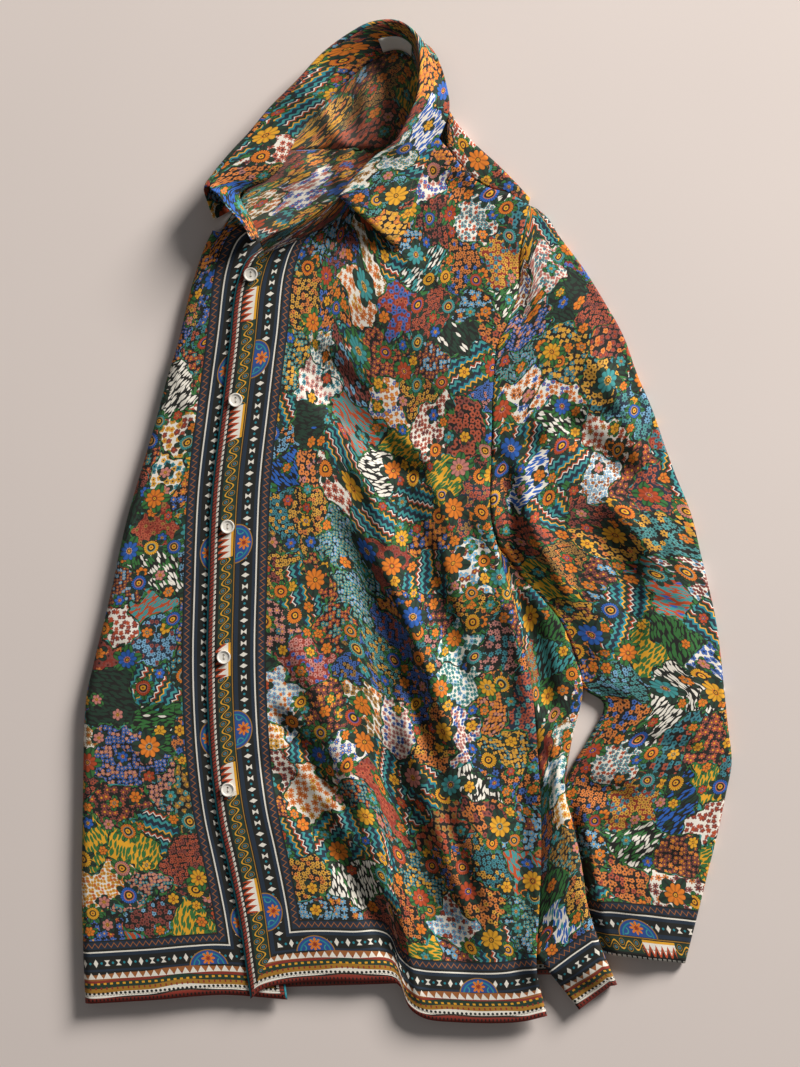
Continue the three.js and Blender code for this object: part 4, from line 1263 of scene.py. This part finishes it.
def cloth_group(look, blossoms, leaves):
    """All that the printed cloth shows: its print, border, stitches and weave. Pale is the share of the
    print that doesn't come through, as on the cloth's reverse side."""
    flowered = print_group(look, blossoms, leaves)
    scarf = border_group(look)
    stitches = stitch_group()
    weave = weave_group()
    g, given = new_group("Printed cotton", {"Point": None, "Edge": 1000, "Along": 0, "Hem": 0,
        "Across seam": 900, "Along seam": 0, "Stitch row": 5, "Pale": 0})
    flowers = use_group(g, flowered, {"Point": given["Point"]})
    border = use_group(g, scarf, {"Edge": given["Edge"], "Along": given["Along"], "Hem": given["Hem"]})
    stitch = use_group(g, stitches, {"Across": given["Across seam"], "Along": given["Along seam"],
        "Row": given["Stitch row"]})
    fine = use_group(g, weave, {"Point": given["Point"]})
    colour = g.blend(border["Mask"], flowers["Color"], border["Color"])
    colour = g.blend(stitch["Thread"] * 0.7, colour, look.thread)
    worn = g.blend(0.02 + fine["Wear"] * 0.04, colour, look.worn)
    colour = g.blend(given["Pale"], worn, look.reverse)
    height = fine["Height"] * 0.25 + flowers["Relief"] * 0.04
    height = height - stitch["Pull"] * 0.8 + stitch["Thread"] * 0.6
    return g.finish(Color=colour, Height=height, Roughness=0.74 + fine["Wear"] * 0.12)


def new_material(name, roughness, colour=None):
    """A material with its graph and its Principled shader."""
    made = bpy.data.materials.new(name)
    made.use_nodes = True
    shader = made.node_tree.nodes["Principled BSDF"]
    shader.location = (1200, 0)
    made.node_tree.nodes["Material Output"].location = (1500, 0)
    shader.inputs["Roughness"].default_value = roughness
    shader.inputs["Specular IOR Level"].default_value = 0.3
    if colour:
        shader.inputs["Base Color"].default_value = (*colour, 1)
    return made, Graph(made.node_tree), shader


def bump(graph, shader, height, distance):
    made = graph.node("ShaderNodeBump")
    made.inputs["Distance"].default_value = distance
    graph.feed(made.inputs["Height"], height)
    graph.feed(shader.inputs["Normal"], Wire(graph, made.outputs[0]))


def printed_cotton(name, cotton, offset, border=None, edge_shift=0.0, row=5.0, pale=0.0):
    """The printed cloth of one piece. Its border follows the piece's front, its hem, both or neither."""
    made, g, shader = new_material(name, 0.78)
    place = g.cut_place("Cut")
    u, v, _ = g.split(place)
    across, along, _ = g.split(g.cut_place("Seams"))
    values = {"Point": g.vector("ADD", place, (*offset, 0)), "Across seam": across, "Along seam": along,
        "Stitch row": row, "Pale": pale}
    if border == "both":
        values["Edge"] = g.number("MINIMUM", u, v) + edge_shift
        on_hem = v < u
        values["Along"] = v + on_hem * (u - v)
        values["Hem"] = on_hem
    elif border in ("hem", "cuff"):
        values["Edge"] = v + edge_shift
        values["Along"] = u
        values["Hem"] = float(border == "hem")
    elif border == "front":
        values["Edge"] = u + edge_shift
        values["Along"] = v
    cloth = use_group(g, cotton, values)
    g.feed(shader.inputs["Base Color"], cloth["Color"])
    g.feed(shader.inputs["Roughness"], cloth["Roughness"])
    bump(g, shader, cloth["Height"], 0.00022)
    shader.inputs["Sheen Weight"].default_value = 0.06
    shader.inputs["Sheen Roughness"].default_value = 0.6
    return made


def ready_cotton(colours):
    """The printed cotton's group, made when the first piece asks for it."""
    found = bpy.data.node_groups.get("Printed cotton")
    return found or cloth_group(Look(colours), blossoms_group(), leaves_group())


def tint(name, code, description):
    return bpy.props.FloatVectorProperty(name=name, description=description, default=hexed(code),
        subtype="COLOR", min=0, max=1)


class ShirtColours(bpy.types.PropertyGroup):
    """The colours of the print, the buttons and the table."""

    night: tint("Night", "080b08", "Near-black ground of the print")
    cream: tint("Cream", "f0e9da", "Pale ground, lines and florets")
    rust: tint("Rust", "bc4616", "Rust orange petals")
    orange: tint("Orange", "e47c16", "Bright orange blossoms")
    gold: tint("Gold", "e8a61e", "Golden yellow")
    mustard: tint("Mustard", "a8761c", "Mustard petals")
    tan: tint("Tan", "a05f2a", "Tan zigzags and stripes")
    brick: tint("Brick", "8c2a1a", "Brick red")
    rose: tint("Rose", "cc8074", "Soft pink")
    cobalt: tint("Cobalt", "1f5fb6", "Mid blue")
    cobalt_deep: tint("Deep cobalt", "1c4a90", "Ground of the medallions")
    navy: tint("Navy", "10263a", "Dark blue bands")
    sky: tint("Sky", "72b0d4", "Light blue petals")
    aqua: tint("Aqua", "3a9594", "Blue-green petals")
    teal: tint("Teal", "158592", "Edging")
    leaf: tint("Leaf", "2f7032", "Bright green leaves")
    leaf_dark: tint("Dark leaf", "103424", "Dark green leaves and bands")
    thread: tint("Thread", "6b5a45", "Sewing thread on the cloth")
    worn: tint("Worn", "8d8577", "What washing has left on the print")
    reverse: tint("Reverse", "cfc4b2", "The unprinted side of the cloth")
    pearl: tint("Pearl", "efe9dd", "Buttons")
    button_thread: tint("Button thread", "c9bfae", "Thread through the buttons")
    label: tint("Label", "ece7dc", "Blank neck label")
    table: tint("Table", "e5d9d1", "Table top")


class Look:
    """The chosen colours as plain tuples."""

    def __init__(self, colours):
        for name in ShirtColours.__annotations__:
            setattr(self, name, tuple(getattr(colours, name)))


def length(name, metres, description):
    return bpy.props.FloatProperty(name=name, description=description, default=metres, min=0,
        subtype="DISTANCE", unit="LENGTH")


class ShirtSizes(bpy.types.PropertyGroup):
    """Thicknesses and the sizes of the buttons."""

    cloth: length("Cloth", 0.0008, "Thickness of one layer of cotton")
    folded: length("Folded cloth", 0.0005, "Thickness of a layer folded behind")
    label: length("Label", 0.0005, "Thickness of the neck label")
    button_radius: length("Button radius", 0.0057, "Half the width of a button")
    button_height: length("Button height", 0.0024, "Height of a button's rim")
    button_rim: length("Button rim", 0.0012, "Width of the raised rim")
    hole_radius: length("Hole radius", 0.0008, "Half the width of a button's hole")
    hole_spacing: length("Hole spacing", 0.0032, "Between the middles of the two holes")


def sizes_of(context):
    return context.scene.shirt_sizes


def colours_of(context):
    return context.scene.shirt_colours


def lay(context, name, points, node, offset, reverse=0.06, border=None, edge_shift=0.0, row=5.0,
        front_side="left", stitched=(), dipped=(), keep=None, thickness=None):
    """Makes one piece of printed cloth and finishes it."""
    cotton = ready_cotton(colours_of(context))
    piece = cloth_mesh(name, points, keep, front_side, stitched, dipped)
    face = printed_cotton(f"{name} print", cotton, offset, border, edge_shift, row)
    back = printed_cotton(f"{name} reverse", cotton, offset, border, edge_shift, row, reverse)
    finish_cloth(piece, thickness or sizes_of(context).cloth, face, back, node)
    return piece


class SHIRT_OT_left_front(bpy.types.Operator):
    """Lay the left front, with its border along the edge and the hem"""

    bl_idname = "shirt.left_front"
    bl_label = "Left Front"

    def execute(self, context):
        piece = lay(context, "left_front_cloth", left_front_points(), "left_front", (0, 0),
            border="both", stitched=("left", "bottom"), dipped=("right",), row=6.0)
        return {"FINISHED"}


class SHIRT_OT_right_front(bpy.types.Operator):
    """Lay the right front, turned under at its folded edge"""

    bl_idname = "shirt.right_front"
    bl_label = "Right Front"

    def execute(self, context):
        piece = lay(context, "right_front_cloth", right_front_points(), "right_front", (307, 131),
            border="both", front_side="right", stitched=("bottom",), row=6.0)
        return {"FINISHED"}


class SHIRT_OT_back(bpy.types.Operator):
    """Lay the back, which wraps forward round the side to its seam"""

    bl_idname = "shirt.back"
    bl_label = "Back"

    def execute(self, context):
        top = ROLL_STEPS + FACE_STEPS
        piece = lay(context, "back_cloth", back_points(), "back", (611, 57), border="hem",
            keep=lambda i, j: i < SIDE_ROWS - 1 or j >= top, stitched=("bottom",), dipped=("left",),
            row=6.0)
        return {"FINISHED"}


class SHIRT_OT_yoke(bpy.types.Operator):
    """Lay the yoke over the shoulder and across the back of the neck"""

    bl_idname = "shirt.yoke"
    bl_label = "Yoke"

    def execute(self, context):
        shown = ROLL_STEPS + YOKE_FRONT_ROWS
        piece = lay(context, "yoke_cloth", yoke_points(), "yoke", (83, 717), front_side="right",
            keep=lambda i, j: i >= shown or j >= NECK_PART, stitched=("bottom",), dipped=("bottom",),
            row=3.0)
        return {"FINISHED"}


class SHIRT_OT_sleeve(bpy.types.Operator):
    """Lay the left sleeve, a flattened tube with a bordered hem"""

    bl_idname = "shirt.sleeve"
    bl_label = "Left Sleeve"

    def execute(self, context):
        ring_start = SLEEVE_TOP_COLUMNS + ROLL_STEPS + SLEEVE_UNDER_COLUMNS
        piece = lay(context, "left_sleeve_cloth", sleeve_points(), "left_sleeve", (211, 503),
            border="cuff", keep=lambda i, j: i < SLEEVE_ROWS or j < ring_start, edge_shift=6.0,
            stitched=("bottom",), row=8.0)
        return {"FINISHED"}


class SHIRT_OT_folded_side(bpy.types.Operator):
    """Fold the right side and the right sleeve behind the shirt"""

    bl_idname = "shirt.folded_side"
    bl_label = "Folded Right Side"

    def execute(self, context):
        piece = lay(context, "folded_side_cloth", folded_points(), "folded_right_side", (97, 211),
            border="hem", stitched=("bottom",), thickness=sizes_of(context).folded)
        return {"FINISHED"}


class SHIRT_OT_collar(bpy.types.Operator):
    """Stand the collar up and turn its leaf down"""

    bl_idname = "shirt.collar"
    bl_label = "Collar"

    def execute(self, context):
        stand = lay(context, "collar_stand_cloth", stand_points(), "collar_stand", (17, 403),
            reverse=0.0, stitched=("left", "right", "bottom"), row=2.4)
        leaf = lay(context, "collar_leaf_cloth", leaf_points(), "collar_leaf", (29, 29),
            reverse=0.0, stitched=("left", "right", "top"), row=5.0)
        return {"FINISHED"}


class SHIRT_OT_label(bpy.types.Operator):
    """Sew the blank label into the neck"""

    bl_idname = "shirt.label"
    bl_label = "Neck Label"

    def execute(self, context):
        look = Look(colours_of(context))
        piece = cloth_mesh("neck_label_tape", label_points())
        tape, g, shader = new_material("Label tape", 0.55, look.label)
        x, y, _ = g.split(g.cut_place("Cut"))
        bump(g, shader, g.number("SINE", x * 7.0) * g.number("SINE", y * 9.0), 0.00004)
        piece.data.materials.append(tape)
        thicken(piece, sizes_of(context).label)
        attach(piece, "root")
        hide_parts("neck_label")
        return {"FINISHED"}


def button_shape(sizes):
    """A shallow dish with a raised rim, spun round its axis, in metres."""
    radius, height, rim = sizes.button_radius, sizes.button_height, sizes.button_rim
    bevel = 0.0004
    profile = [
        (0, 0),
        (radius - bevel * 2, 0),
        (radius - bevel * 0.5, height * 0.25),
        (radius, height * 0.55),
        (radius - bevel * 0.3, height * 0.85),
        (radius - bevel, height),
        (radius - rim, height * 0.97),
        (radius - rim - bevel * 1.5, height * 0.72),
        (radius * 0.35, height * 0.66),
        (0, height * 0.66),
    ]
    shape = bmesh.new()
    line = [shape.verts.new((x, 0, z)) for x, z in profile]
    edges = [shape.edges.new(pair) for pair in zip(line, line[1:])]
    bmesh.ops.spin(shape, geom=line + edges, cent=(0, 0, 0), axis=(0, 0, 1), angle=math.tau, steps=48,
        use_merge=True)
    bmesh.ops.remove_doubles(shape, verts=shape.verts, dist=0.000002)
    bmesh.ops.recalc_face_normals(shape, faces=shape.faces)
    return shape


def drilled(shape, sizes):
    """The button with its two holes cut through, as a mesh."""
    disc = add_mesh("disc", shape)
    cutter = bmesh.new()
    for side in (-1, 1):
        hole = bmesh.ops.create_cone(cutter, cap_ends=True, segments=20, radius1=sizes.hole_radius,
            radius2=sizes.hole_radius, depth=sizes.button_height * 4)
        bmesh.ops.translate(cutter, verts=hole["verts"], vec=(0, side * sizes.hole_spacing / 2, 0))
    drill = add_mesh("drill", cutter)
    cut = disc.modifiers.new("Holes", "BOOLEAN")
    cut.operation = "DIFFERENCE"
    cut.solver = "EXACT"
    cut.object = drill
    graph = bpy.context.evaluated_depsgraph_get()
    mesh = bpy.data.meshes.new_from_object(disc.evaluated_get(graph))
    for spent in (disc, drill):
        bpy.data.objects.remove(spent, do_unlink=True)
    return mesh


def button_matrix(x, y):
    """Turns a button to lie on the cloth at a place on the left front."""
    reach = BUTTON_REACH
    slope_x = (front_height(x + reach, y) - front_height(x - reach, y)) / (2 * reach)
    slope_y = (front_height(x, y + reach) - front_height(x, y - reach)) / (2 * reach)
    normal = Vector((-slope_x, -slope_y, 1)).normalized()
    place = Vector((x, y, front_height(x, y))) + normal * (CLOTH / 2 + BUTTON_GAP)
    turn = Vector((0, 0, 1)).rotation_difference(normal).to_matrix().to_4x4()
    turn.translation = place * MM + SHIFT
    return turn


class SHIRT_OT_buttons(bpy.types.Operator):
    """Sew on the five buttons"""

    bl_idname = "shirt.buttons"
    bl_label = "Buttons"

    def execute(self, context):
        sizes = sizes_of(context)
        look = Look(colours_of(context))
        pearl, g, shader = new_material("Pearl", 0.28, look.pearl)
        cloudy = g.blend(g.cloud(260.0, 2.0) * 0.3, look.pearl, look.cream)
        g.feed(shader.inputs["Base Color"], cloudy)
        shader.inputs["Coat Weight"].default_value = 0.3
        thread, _, _ = new_material("Button thread", 0.8, look.button_thread)
        mesh = drilled(button_shape(sizes), sizes)
        for k, (x, y) in enumerate(BUTTONS):
            shape = bmesh.new()
            shape.from_mesh(mesh)
            strand = bmesh.ops.create_cone(shape, cap_ends=True, segments=10, radius1=0.0003,
                radius2=0.0003, depth=sizes.hole_spacing)
            bmesh.ops.rotate(shape, verts=strand["verts"], cent=(0, 0, 0),
                matrix=Vector((0, 0, 1)).rotation_difference(Vector((0, 1, 0))).to_matrix())
            bmesh.ops.translate(shape, verts=strand["verts"], vec=(0, 0, sizes.button_height * 0.66))
            for face in {face for vertex in strand["verts"] for face in vertex.link_faces}:
                face.material_index = 1
            bmesh.ops.transform(shape, matrix=button_matrix(x, y), verts=shape.verts)
            button = add_mesh(f"button_{k + 1}_disc", shape)
            button.data.materials.append(pearl)
            button.data.materials.append(thread)
            button.data.set_sharp_from_angle(angle=math.radians(40))
            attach(button, "root")
            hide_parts(f"button_{k + 1}")
        return {"FINISHED"}


def aim(thing, target):
    thing.rotation_euler = (Vector(target) - thing.location).to_track_quat("-Z", "Y").to_euler()


def soft_light(context, name, place, size, power, colour):
    lamp = bpy.data.lights.new(name, "AREA")
    lamp.shape = "RECTANGLE"
    lamp.size, lamp.size_y = size
    lamp.energy = power
    lamp.color = colour
    light = bpy.data.objects.new(name, lamp)
    light.location = place
    context.scene.collection.objects.link(light)
    aim(light, (0, 0, 0))


# Distances in metres, and powers in watts
TABLE_HALF = 1.6
CAMERA_PLACE = (-0.0056, -0.0086, 2.066)
WINDOW_PLACE, WINDOW_SIZE, WINDOW_POWER = (3.0, 3.24, 2.1), (1.8, 1.8), 414
FILL_PLACE, FILL_SIZE, FILL_POWER = (-1.2, -0.9, 2.4), (2.4, 2.4), 3
ROOM_COLOUR, ROOM_STRENGTH = (0.9, 0.92, 0.95, 1), 0.11


class SHIRT_OT_stage(bpy.types.Operator):
    """Set up the table, the lights and the camera"""

    bl_idname = "shirt.stage"
    bl_label = "Table, Lights and Camera"

    def execute(self, context):
        look = Look(colours_of(context))
        shape = bmesh.new()
        bmesh.ops.create_grid(shape, x_segments=1, y_segments=1, size=TABLE_HALF)
        table = add_mesh("Table", shape)
        top, g, shader = new_material("Table top", 0.85)
        darker = tuple(0.93 * part for part in look.table)
        g.feed(shader.inputs["Base Color"], g.blend(g.cloud(2.2, 3.0), look.table, darker))
        table.data.materials.append(top)

        soft_light(context, "Window", WINDOW_PLACE, WINDOW_SIZE, WINDOW_POWER, (1, 0.972, 0.952))
        soft_light(context, "Fill", FILL_PLACE, FILL_SIZE, FILL_POWER, (1, 0.98, 0.97))
        world = bpy.data.worlds.new("Room")
        world.use_nodes = True
        room = world.node_tree.nodes["Background"]
        room.inputs["Color"].default_value = ROOM_COLOUR
        room.inputs["Strength"].default_value = ROOM_STRENGTH
        context.scene.world = world

        camera = bpy.data.cameras.new("Camera")
        camera.lens = 85
        camera.sensor_width = 36
        camera.dof.use_dof = False
        viewer = bpy.data.objects.new("Camera", camera)
        viewer.location = CAMERA_PLACE
        context.scene.collection.objects.link(viewer)
        context.scene.camera = viewer
        context.scene.view_settings.view_transform = "Standard"
        return {"FINISHED"}


OPERATORS = (SHIRT_OT_folded_side, SHIRT_OT_back, SHIRT_OT_yoke, SHIRT_OT_right_front,
    SHIRT_OT_left_front, SHIRT_OT_sleeve, SHIRT_OT_collar, SHIRT_OT_label, SHIRT_OT_buttons,
    SHIRT_OT_stage)


class SHIRT_PT_panel(bpy.types.Panel):
    """Lists the shirt's pieces, sizes and colours"""

    bl_idname = "SHIRT_PT_panel"
    bl_label = "Shirt"
    bl_space_type = "VIEW_3D"
    bl_region_type = "UI"
    bl_category = "Shirt"

    def draw(self, context):
        column = self.layout.column()
        for operator in OPERATORS:
            column.operator(operator.bl_idname)
        for heading, group in (("Sizes", sizes_of(context)), ("Colours", colours_of(context))):
            column.label(text=heading)
            for name in type(group).__annotations__:
                column.prop(group, name)


CLASSES = (ShirtColours, ShirtSizes, *OPERATORS, SHIRT_PT_panel)


def register():
    for kind in CLASSES:
        bpy.utils.register_class(kind)
    bpy.types.Scene.shirt_sizes = bpy.props.PointerProperty(type=ShirtSizes)
    bpy.types.Scene.shirt_colours = bpy.props.PointerProperty(type=ShirtColours)


def unregister():
    del bpy.types.Scene.shirt_colours
    del bpy.types.Scene.shirt_sizes
    for kind in reversed(CLASSES):
        bpy.utils.unregister_class(kind)


def main():
    register()
    for step in (
        bpy.ops.shirt.folded_side,
        bpy.ops.shirt.back,
        bpy.ops.shirt.yoke,
        bpy.ops.shirt.right_front,
        bpy.ops.shirt.left_front,
        bpy.ops.shirt.sleeve,
        bpy.ops.shirt.collar,
        bpy.ops.shirt.label,
        bpy.ops.shirt.buttons,
        bpy.ops.shirt.stage,
    ):
        step()


if __name__ == "__main__":
    main()
